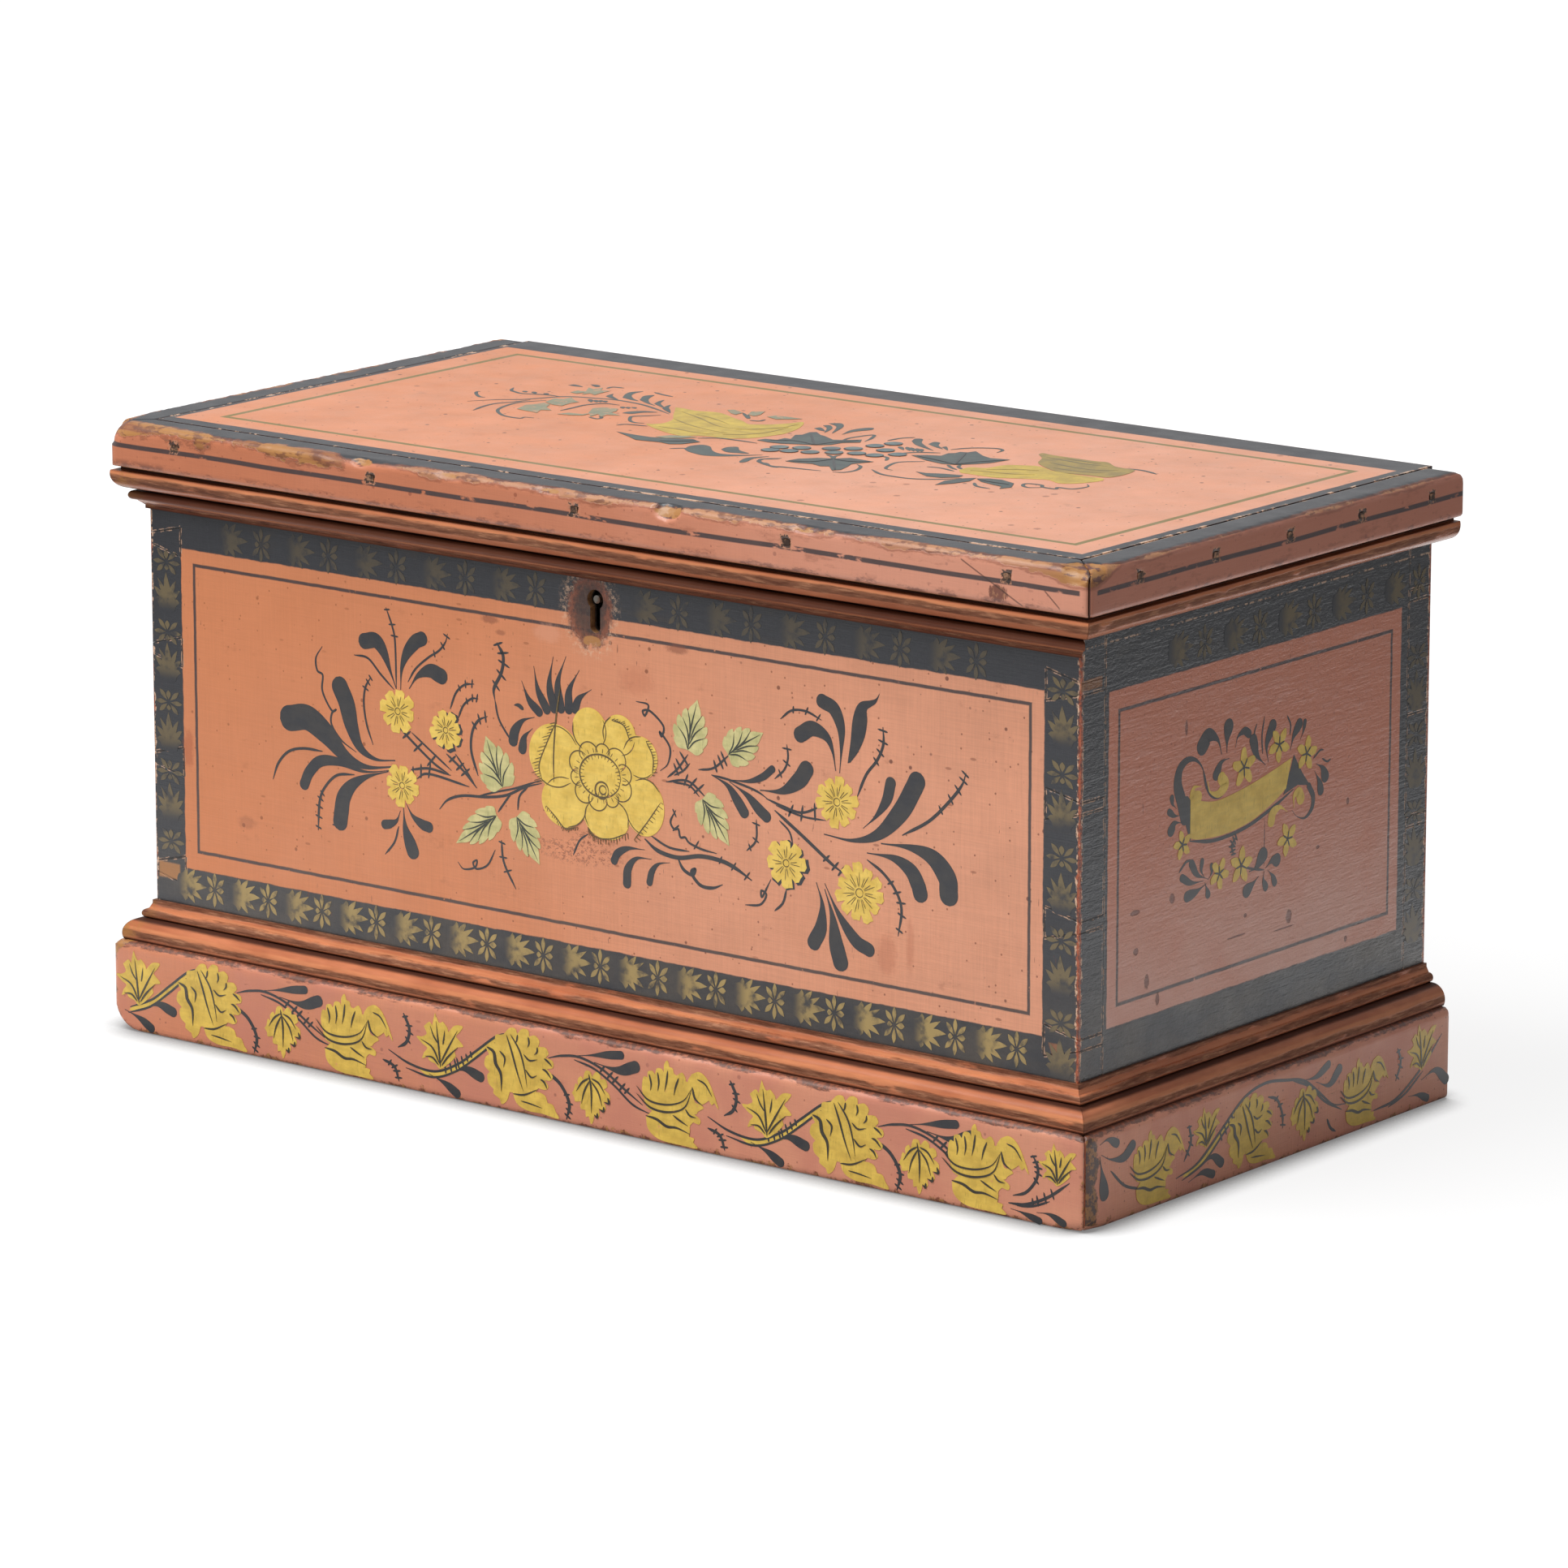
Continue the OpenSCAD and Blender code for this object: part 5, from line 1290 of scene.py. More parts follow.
# plinth vine: big leaves joined by a waving stem; places along the plinth, heights from its middle
vine = {
    # height of the middle, lowest paint, how far the second tendrils stay from a corner, slimness of commas
    "middle": 18.5,
    "floor": 1.4,
    "inner": 20,
    "slim": 3.4,
    # leaf edges, run by run from notch to notch
    "leafA": [
        [(-7.5, 12.4, -4.5, 15.4, -1.6, 15.6), (-0.6, 13.6, 2, 16.2, 5, 15.9),
         (5.4, 13.6, 8.4, 14.4, 10.6, 12.6), (10, 10.2, 13.6, 10.4, 15.2, 8.2),
         (13.6, 6.4, 17.2, 5.6, 17.4, 3), (14.4, 2, 17.2, -0.4, 16, -2.4), (13, -2.6, 15, -5, 13.4, -6.6),
         (10, -6.4, 8, -8.6, 5.4, -9.8, 0, -10.2), (-4.6, -10.4, -6, -14, -8.6, -16),
         (-9.8, -14, -12.8, -12.4), (-12.8, -10.6, -15.4, -8.6, -16, -5.6),
         (-14.8, -4, -17.4, -1.6, -16.8, 1.6), (-15, 3, -16.4, 5.8, -13.8, 8.2),
         (-12, 8, -11.6, 11.4, -9, 12)],
        [(-3.4, -9.4, -1, -14.4, 4.6, -16.4, 12, -16.4, 20, -17.2), (18.6, -14.4, 17.2, -12),
         (14.6, -11.6, 13.4, -9), (10.6, -8, 6, -8.4, 2, -8.4)],
    ],
    "leafB": [
        [(-15.8, -2.6, -17.2, 2.4, -16.4, 7), (-14.4, 7, -14.2, 9.4, -12, 10),
         (-10.8, 8.8, -9.8, 11.4, -7.4, 11.6), (-6.4, 10.4, -6.2, 13.6, -4.6, 15.4),
         (-3.6, 13, -2, 12.6, -1.4, 10.8), (0, 10.2, 2.6, 11.8, 4.2, 10), (4.4, 8.6, 6.4, 8.4, 7.4, 7),
         (8, 4, 9, 1, 12, 0.6), (13.2, -0.6, 10.4, -2.4, 9.8, -3.4), (8.6, -3.8, 11.4, -5.4, 11, -7.4),
         (8, -7, 6.6, -8.4, 6, -9.6), (3, -9, -4, -7.4, -10, -6.4, -14.6, -5)],
        [(7.4, 12, 11, 13.4, 14.6, 11.6, 17.6, 7, 20.4, 0.4), (18.4, 2.4, 17, 1.4), (15.8, 3, 13, 1),
         (11, 0.6, 8, 3, 5.4, 8.4)],
        [(-15.2, -8.8, -14.4, -13, -11, -15.8, -6, -17, 2, -17.2, 10, -17.4), (8, -15, 8.4, -13.4),
         (6, -13, 6.2, -9.4), (2, -8.2, -4, -6.6, -11, -5.4)],
    ],
    "leafC": [
        [(-9.2, -5.4, -8.2, -4, -7.4, -1.4), (-6, -2, -6.2, 0.4, -4.6, 2), (-3.6, 0.8, -2.4, 4.4, 0, 4.6),
         (1, 2.8, 3, 5, 5, 4), (5.2, 2.4, 7.6, 2.6, 8.6, 0), (6.8, -1.4, 9.6, -3.2, 9.4, -6.6),
         (6.6, -6.4, 7.8, -8.6, 6.6, -10.4), (4.2, -9.4, 4.6, -12, 3.4, -13.4),
         (2, -12.2, 1.6, -14.6, 0.4, -16.4), (-0.8, -13.4, -2.2, -13.8),
         (-2.4, -11.2, -4.6, -11, -5, -9.6), (-4.6, -8, -7.6, -8.6, -8, -7)],
    ],
    "leafD": [
        [(-2.6, 15.4, -1.6, 13.2, -0.4, 11.6), (1.4, 12.4, 3.6, 10.4), (4.2, 8.6, 7.6, 11.8, 11.6, 12),
         (10, 9.4, 8.2, 7.6), (9.6, 6.2, 11.8, 4), (9, 3.2, 7.4, 1.4), (8, -0.6, 5, -3.6, 0, -7),
         (-2.4, -5.4, -5.8, -4.4), (-6.4, -2.8, -9.4, -4.2), (-8.4, -1.6, -6.8, 0.4),
         (-9, 1.6, -12.2, 4.2), (-9.4, 4.6, -7, 6.2), (-8.4, 9, -5.6, 11.2), (-4, 10, -3.4, 12.6)],
    ],
    # dark lines drawn on the leaves
    "penA": [
        (0.9, -6, 12.4, -3.4, 6, -0.6, -2, 2.4, -9), (0.8, -4, 13, 0.6, 7, 3, 0, 4.2, -7),
        (0.8, 2.6, 6, 5.6, 4, 9.6, 5), (0.8, 3.4, 0, 6.4, -2.6, 9.4, -1.4),
        (1.6, -16.2, 6, -12.6, 4.4, -11.6, 0, -9, -4, -8.8, -11), (0.9, -9.6, 5.4, -7, 3, -7.6, -1),
        (0.8, -3, -10.8, 3, -10.2, 10, -6.8), (0.9, 13, 6, 15, 5, 17, 3.4),
        (0.9, 12, 1.6, 14, 1, 16.6, -1.6), (0.9, 11, -2.6, 13, -3.6, 14.4, -6),
        (0.8, 5, 13.4, 5.4, 11, 4.6, 9), (0.8, 9.6, 10, 9.4, 8, 8, 6.6),
        (0.8, -0.4, 13.4, -0.8, 11, -1.8, 9.6), (0.6, 1, -13, 6, -13.4, 12, -14.2),
    ],
    "penB": [
        (0.9, -20, 0, -13, -4.6, -4, -5, 4, -1.6, 7.6, 6.8),
        (0.8, -20, 3, -14, -1.8, -5, -2.2, 3, 0.6, 7.2, 6), (1, 7.6, 7, 9, 2.6, 12.6, 0.4),
        (1.2, -15.4, -8.2, -10, -8.8, -5, -10.8, 0, -10.6, 6.6, -12), (0.8, -13.6, 8.6, -12.6, 5, -13, 2),
        (0.8, -9.4, 10, -8.8, 6, -9.4, 2.4), (0.8, -4.4, 11.4, -5, 7, -6, 2.8),
        (0.8, 1, 9.4, -0.6, 5.4, -1.4, 2), (0.8, 4.2, -2.4, 6.4, -4.6, 9.6, -5),
        (0.8, -2, -5.8, 2, -7.6, 5.6, -9), (0.7, 10, 10.4, 14, 9, 17.4, 4.6),
    ],
    "penC": [
        (0.9, -0.6, 3.6, 0.6, -3, 0.6, -12), (0.8, -0.2, 1, -3, -4, -4.4, -9),
        (0.8, 0.4, 1, 4, -3, 6, -8.4), (0.8, -0.4, 2, -4, -0.4, -7, -4.4),
        (0.8, 0.6, 2, 4.4, 0.6, 7.6, -3.4), (1, 8.8, -4.4, 9.4, -6.6, 7, -6.4),
        (1, 6.8, -8.4, 6.6, -10.2, 4.4, -9.6), (1, 3.6, -11.4, 3.4, -13.2, 2, -12.2),
    ],
    "penD": [
        (0.9, 0, -6.4, -0.8, 2, -2, 12), (0.8, -0.2, -5, 4, 2, 9, 10), (0.8, -0.4, -5, -4, 1, -10, 3.6),
        (0.8, 0.6, -5.6, 4, -1.4, 9, 3.2), (0.8, -0.8, -5.6, -4, -3, -8, -3),
        (0.7, -1, 3, -3.4, 6, -5, 9.6), (0.7, 1.4, 3, 2, 6, 2.4, 9),
    ],
    "rise": [
        (1, -67, -3.5, -56, -7.5, -43, -8.5, -31, -3.5, -21, 3.8, -11, 11, -4, 12.8, 2, 11.6),
        (0.9, -58, -9.5, -44, -11, -32, -6.6, -22, 0.4, -12, 8, -6, 9.6),
    ],
    "fall": [
        (1, 15, 6.6, 22, 8.6, 31, 9.4, 42, 6.5, 53, 0.4, 62, -4.4),
        (0.9, 28, 8, 38, 6, 48, 1, 57, -5, 66, -7.4),
    ],
    # gold between the two lines of the rising stem
    "gilt": (3.4, -52, -8.4, -43.6, -9.8, -31.6, -5.1, -21.6, 2.1, -11.6, 9.5, -4, 11.6),
    "bind": [
        (0.9, 0.5, 0.74, 7, 3.6, -67, -3.5, -56, -7.5, -43, -8.5, -31, -3.5, -21, 3.8, -11, 11),
        (0.9, 0.62, 0.84, 5, 3.4, 15, 6.6, 22, 8.6, 31, 9.4, 42, 6.5, 53, 0.4, 62, -4.4),
    ],
    "commas": [
        (3.4, 29, 9.8, 42, 12.2, 51, 13.6), (4.8, 38, 8.6, 50, 7.4, 58, 10),
        (4.2, -36, -8.6, -28, -5, -20, -6.8), (3.8, -46, -10, -38, -12.4, -32, -15.4),
    ],
    "tendrils": [(1.5, 14, 1, 21, -3, 25.4, -10, 24, -16.6)],
    "ticked": [(0.8, 0.55, 0.96, 4, 3, 14, 1, 21, -3, 25.4, -10, 24, -16.6)],
    "tendrilB": [(1.4, 26, 12.6, 29, 6.5, 27.4, 1, 23, -1.8), (1.2, 15, -8, 21, -10, 23.4, -15.6)],
    "tickedB": [
        (0.8, 0.1, 0.6, 4, 3, 26, 12.6, 29, 6.5, 27.4, 1, 23, -1.8),
        (0.8, 0.3, 0.9, 4, 3, 15, -8, 21, -10, 23.4, -15.6),
    ],
    "front": {
        "A": (-191, -29, 132),
        "B": (-114, 50, 197),
        "C": (-152, 7, 166),
        "D": (-229, -69, 94),
        "reach": 238,
        # single leaves by kind, place and size, then lines, crossed lines and commas of their own
        "more": [("D", 230.5, 21.6, 0.72)],
        "lines": [
            (1.2, 219, 26.5, 221.4, 22, 220.6, 17, 216, 11.6, 210, 9.4),
            (1.2, 208, 6.2, 216, 7, 226, 11.4, 236, 18.6), (0.9, 212, 5.8, 219, 6.8, 227, 10),
        ],
        "crossed": [
            (0.8, 0.05, 0.5, 5, 3, 219, 26.5, 221.4, 22, 220.6, 17, 216, 11.6, 210, 9.4),
            (0.8, 0.45, 0.75, 4, 3.4, 208, 6.2, 216, 7, 226, 11.4, 236, 18.6),
        ],
        "heads": [(2.8, 209, 4.2, 214, 3.6, 222, 1.8), (3, 221, 4.8, 227, 5, 233, 2.8)],
        "gold": [],
    },
    "end": {
        "reach": 112,
        "more": [
            ("B", -82.5, 17.6, 0.88), ("A", -22, 17, 0.85), ("B", 55, 17, 0.82), ("C", 14, 21, 1),
            ("D", -50.5, 21.4, 0.72), ("D", 95, 21.6, 0.85),
        ],
        "lines": [
            (1.2, -70, 8.6, -56, 11.6, -41, 21, -26, 30.4, -12, 33.2, 2, 31.4, 14, 28.6, 24, 22, 34, 15,
             43, 13.4),
            (1, -66, 7, -52, 11, -38, 20.4, -28, 27), (1, 6, 30.4, 18, 25.4, 28, 17.6, 40, 11.6),
            (1.2, -62, 27.6, -60.6, 21, -65, 14), (1.2, -10, 27.4, -4, 25, -0.4, 18.6, 0, 13),
            (1.2, 30, 10, 32.4, 6, 36, 3.8), (1.2, 78, 28, 80.4, 22, 77, 15),
            (1.1, 62, 6.4, 76, 7.4, 88, 12.4, 100, 20, 109, 27.4), (0.9, 72, 5.6, 84, 8.6, 96, 15),
            (1.1, -112, 21, -103, 13.4, -92, 9.6),
        ],
        "crossed": [
            (0.8, 0.1, 0.8, 4, 3, -62, 27.6, -60.6, 21, -65, 14),
            (0.8, 0.3, 0.95, 4, 3, -10, 27.4, -4, 25, -0.4, 18.6, 0, 13),
            (0.8, 0.15, 0.9, 4, 3, 78, 28, 80.4, 22, 77, 15),
            (0.9, 0.6, 0.9, 5, 3.6, -66, 7, -52, 11, -38, 20.4, -28, 27),
        ],
        "heads": [
            (5.6, -119, 28, -117.4, 21, -116, 13.6), (3.6, -119, 32.4, -114, 33.4, -108.6, 31),
            (4.2, -118, 28.4, -112, 25.4, -104, 24.4, -98.6, 27.6), (3.4, -62, 5.4, -53, 7.2, -46.4, 5.2),
            (4, -54, 9.6, -46.6, 12, -41, 8.6), (3.4, 12, 29, 22, 28.4, 30, 31.4),
            (4, 22, 26.4, 31, 23.4, 37.6, 28), (3.2, 86, 6.8, 93, 6, 99, 3.6),
            (4.4, 95, 11.6, 104.6, 13.6, 112, 8.6),
        ],
        "gold": [(2.8, -66, 8.2, -54, 11.4, -40, 20.6, -27, 29)],
    },
}


def shifted(item, u, v, start, size=1.0):
    # a stroke moved to its place, kept clear of the floor
    moved = list(item[:start])
    for i in range(start, len(item), 2):
        moved += [item[i] * size + u, max(item[i + 1] * size + v, vine["floor"])]
    return moved


def clipped(flat, start, reach, whole=False):
    # a stroke cut off at the corner, or left out if it has to be whole
    kept = list(flat[:start])
    for i in range(start, len(flat), 2):
        if abs(flat[i]) < reach:
            kept += flat[i:i + 2]
    if len(kept) < start + 4 or (whole and len(kept) < len(flat)):
        return None
    return kept


def paintVine(face, title):
    plan = vine[title]
    middle = vine["middle"]
    leaves = []
    veins = []
    single = [(kind, u, middle, 1.0) for kind in "ABCD" for u in plan.get(kind, ())]
    for kind, u, v, size in single + plan["more"]:
        for k, runs in enumerate(vine["leaf" + kind]):
            leaves.append((k, notched([shifted(run, u, v, 0, size) for run in runs], 4)))
        veins += [blade(*shifted(item, u, v, 1, size)) for item in vine["pen" + kind]]

    def head(*item):
        return comma(*item, slim=vine["slim"])

    def repeated(items, u, kind, whole=False, less=0):
        # strokes that come again at each leaf, cut off at the corner
        start = 5 if kind is ticks else 1
        made = []
        for item in items:
            kept = clipped(shifted(item, u, middle, start), start, plan["reach"] - less, whole)
            if kept:
                made += kind(*kept) if kind is ticks else [kind(*kept)]
        return made

    strokes = [tendril(*item) for item in plan["lines"]] + [head(*item) for item in plan["heads"]]
    for item in plan["crossed"]:
        strokes += ticks(*item)
    gilt = [blade(*item) for item in plan["gold"]]
    for u in plan.get("A", ()):
        gilt += repeated([vine["gilt"]], u, blade)
        strokes += repeated(vine["rise"] + vine["fall"] + vine["tendrils"], u, tendril)
        strokes += repeated(vine["commas"], u, head, True)
        strokes += repeated(vine["bind"] + vine["ticked"], u, ticks, True)
    for u in plan.get("B", ()):
        strokes += repeated(vine["tendrilB"], u, tendril, True, vine["inner"])
        strokes += repeated(vine["tickedB"], u, ticks, True, vine["inner"])
    gold = films["goldDull"]
    paintPiece(title + "_vine_gilt", face, 0.4, gilt, [], gold)
    paintPiece(title + "_vine_stems", face, 1.2, strokes, [], films["black"])
    for k in range(3):
        shapes = [outline for layer, outline in leaves if layer == k]
        paintPiece(title + "_vine_leaves_" + str(k + 1), face, 2 + 0.5 * k, [], shapes, gold, True)
    paintPiece(title + "_vine_veins", face, 4, veins, [], films["leafPen"])


paintVine("plinthFront", "front")
paintVine("plinthEnd", "end")
print("plinth vine painted")

# ribbon and small flowers on the right end: y along the end, height above the floor
endSpray = {
    "ribbon": [
        (-45, 148.4, -41.4, 147, -28.6, 144.3, -11.4, 145.7, 5.7, 148.6, 21.4, 152),
        (17.9, 140.7, 8.6, 136.4, -5.7, 132.1, -22.9, 130.4, -38.6, 131.4, -45, 132.9),
    ],
    "wedges": [
        [(-51.5, 150), (-47, 149.6), (-42.4, 145.4), (-43.4, 143.4), (-42, 141.4), (-43.6, 139.4),
         (-42.4, 137.4), (-45, 131.6), (-49, 141)],
        [(22.9, 153), (20.4, 147), (18.4, 145), (18.8, 142.4), (16, 138.4), (25.7, 140.6), (34, 139),
         (28.6, 145)],
    ],
    "commas": [
        (6.6, -35, 150, -37, 157.8, -41.4, 162.2, -47, 163.4, -52, 160.8, -53.4, 155, -51, 148.6, -48.6,
         142),
        (3, 22, 131.4, 25.7, 128.2, 31, 126.8, 35.4, 129.6, 36.2, 134.2, 33.4, 138.6),
        (8, -25, 161.6, -27.6, 167.6, -33.4, 170.4, -37.2, 167.4),
        (7, -21.6, 161.6, -21.6, 167, -20.8, 171), (4, -16, 162.6, -14.6, 166.4, -10.4, 168, -7.6, 166.6),
        (5, -20, 159.2, -25, 158.6, -28.2, 154.6), (5.6, 4, 152.2, -1.6, 157, -4.2, 163),
        (5.6, 5.8, 153, 4.6, 160, 8.2, 166.4), (5, 20.4, 155, 22.4, 160, 26, 164),
        (2.4, 27, 158, 29, 161, 30, 164.4), (5.6, 38, 146.6, 42, 144.4, 44, 141),
        (4.6, 37, 144, 40, 139.6, 41.2, 136), (5, -50.6, 140, -55, 140.6, -57.2, 138.4),
        (3.2, -51, 143, -55, 143.4, -58.4, 145.4), (3, -54, 146, -56.4, 148.2, -57, 150.4),
        (4, -33, 115, -40, 118, -43.6, 122.6), (3.6, -36, 114.8, -44, 115.6, -49.6, 118.4),
        (5, -34, 113.4, -41, 111.4, -46, 110.8), (3.6, -35, 114, -33.6, 111, -33, 109.2),
        (2.8, -35, 115.6, -37.4, 119, -37, 122.4), (2.4, -33, 114.6, -30.6, 117, -30.8, 119.6),
        (7, -6, 112.6, -1.6, 113.4, 2.6, 117), (6, 0.4, 109.6, -3.4, 107.4, -7, 105.6),
        (6, 5, 112, 9, 114, 11.8, 113.8), (3.8, 4, 111, 3.6, 107.6, 5, 104.8),
        (3.6, 6.4, 111, 9.6, 108, 11, 105.4),
    ],
    "tendrils": [
        (1.5, -45, 131.8, -28.6, 129.2, -8.6, 130.4, 8.6, 134.6, 23, 139.4),
        (1.3, -37, 158, -34.4, 150.4, -30.6, 146.4, -25.6, 145.6, -21.6, 148),
        (0.8, 2, 157, 1.4, 164, 3, 171.4), (0.8, -2.4, 162, -3.6, 166, -2, 169.4),
        (0.8, 18, 169, 20.4, 165, 20, 161), (0.8, 36, 149, 40.4, 151.4, 43, 151.2),
        (0.8, 42, 148, 45.4, 146.2, 48, 146.8), (1, -52, 121, -47, 124.4, -42, 123.4),
        (1, -12, 117, -6, 114, 4, 111.4), (1, -14.6, 128, -17.6, 125, -16.4, 121.4),
    ],
    "ticked": [(0.8, 0.1, 0.95, 6, 3.6, -14.6, 128.4, -17.6, 125, -16.4, 121)],
    "curls": [
        (5, -38, 151.6, -42.6, 152, -43.6, 149, -40.6, 148),
        (5, -34, 153, -32.4, 148.6, -27, 146.8, -22.6, 149.4, -24.6, 152),
        (4.6, 19, 131.4, 14, 134, 9.4, 132.6, 8.4, 130),
        (5, 23.4, 132, 23.4, 136.6, 26.4, 137.6, 27.6, 135.4),
    ],
    "flowers": [
        (-10.3, 154, 7.6, 20), (12.9, 158.6, 6.8, 50), (31.4, 151.9, 6.8, 5), (-50, 131.4, 5.6, 30),
        (-25.7, 115.7, 6.2, 60), (-11.4, 116.1, 7.2, 10), (19.3, 120.7, 6.6, 40),
    ],
}


def paintEndSpray():
    spray = endSpray
    strokes = [comma(0.88 * c[0], *c[1:], slim=2.9) for c in spray["commas"]]
    strokes += [tendril(*t) for t in spray["tendrils"]]
    for t in spray["ticked"]:
        strokes += ticks(*t)
    paintPiece("end_black_strokes", "end", 1, strokes, spray["wedges"], films["black"])
    upper, lower = [sweep(flat, 6) for flat in spray["ribbon"]]
    gold = [[p[:] for p in upper + lower]]
    paintPiece("end_gold_ribbon", "end", 1.5, [comma(*c) for c in spray["curls"]], gold, films["gold"])
    spokes = []
    for k in range(5):
        petals = []
        for u, v, r, first in spray["flowers"]:
            turn = first + 72 * k
            a, b = r * math.cos(math.radians(turn)), r * math.sin(math.radians(turn))
            petals.append(blobShape(u + a * 0.56, v + b * 0.56, r * 0.46, r * 0.27, 0.05, u, turn))
            between = math.radians(turn) + 0.63
            a, b = r * 0.5 * math.cos(between), r * 0.5 * math.sin(between)
            spokes.append(tendril(0.7, u, v, u + a, v + b))
        paintPiece("end_gold_petals_" + str(k + 1), "end", 2 + 0.2 * k, [], petals, films["gold"])
    paintPiece("end_flower_lines", "end", 4, spokes, [], films["black"])


paintEndSpray()
print("end spray painted")

# the left end carries the right end's ornament, mirrored
for name in [made.name for made in bpy.data.objects if made.name.startswith("end_")]:
    mirrored = bpy.data.objects.new("left_" + name, bpy.data.objects[name].data.copy())
    bpy.context.scene.collection.objects.link(mirrored)
    mirrored.data.transform(Matrix.Scale(-1, 4, (1, 0, 0)))
    mirrored.data.flip_normals()
    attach(mirrored, "case")
print("left end painted")


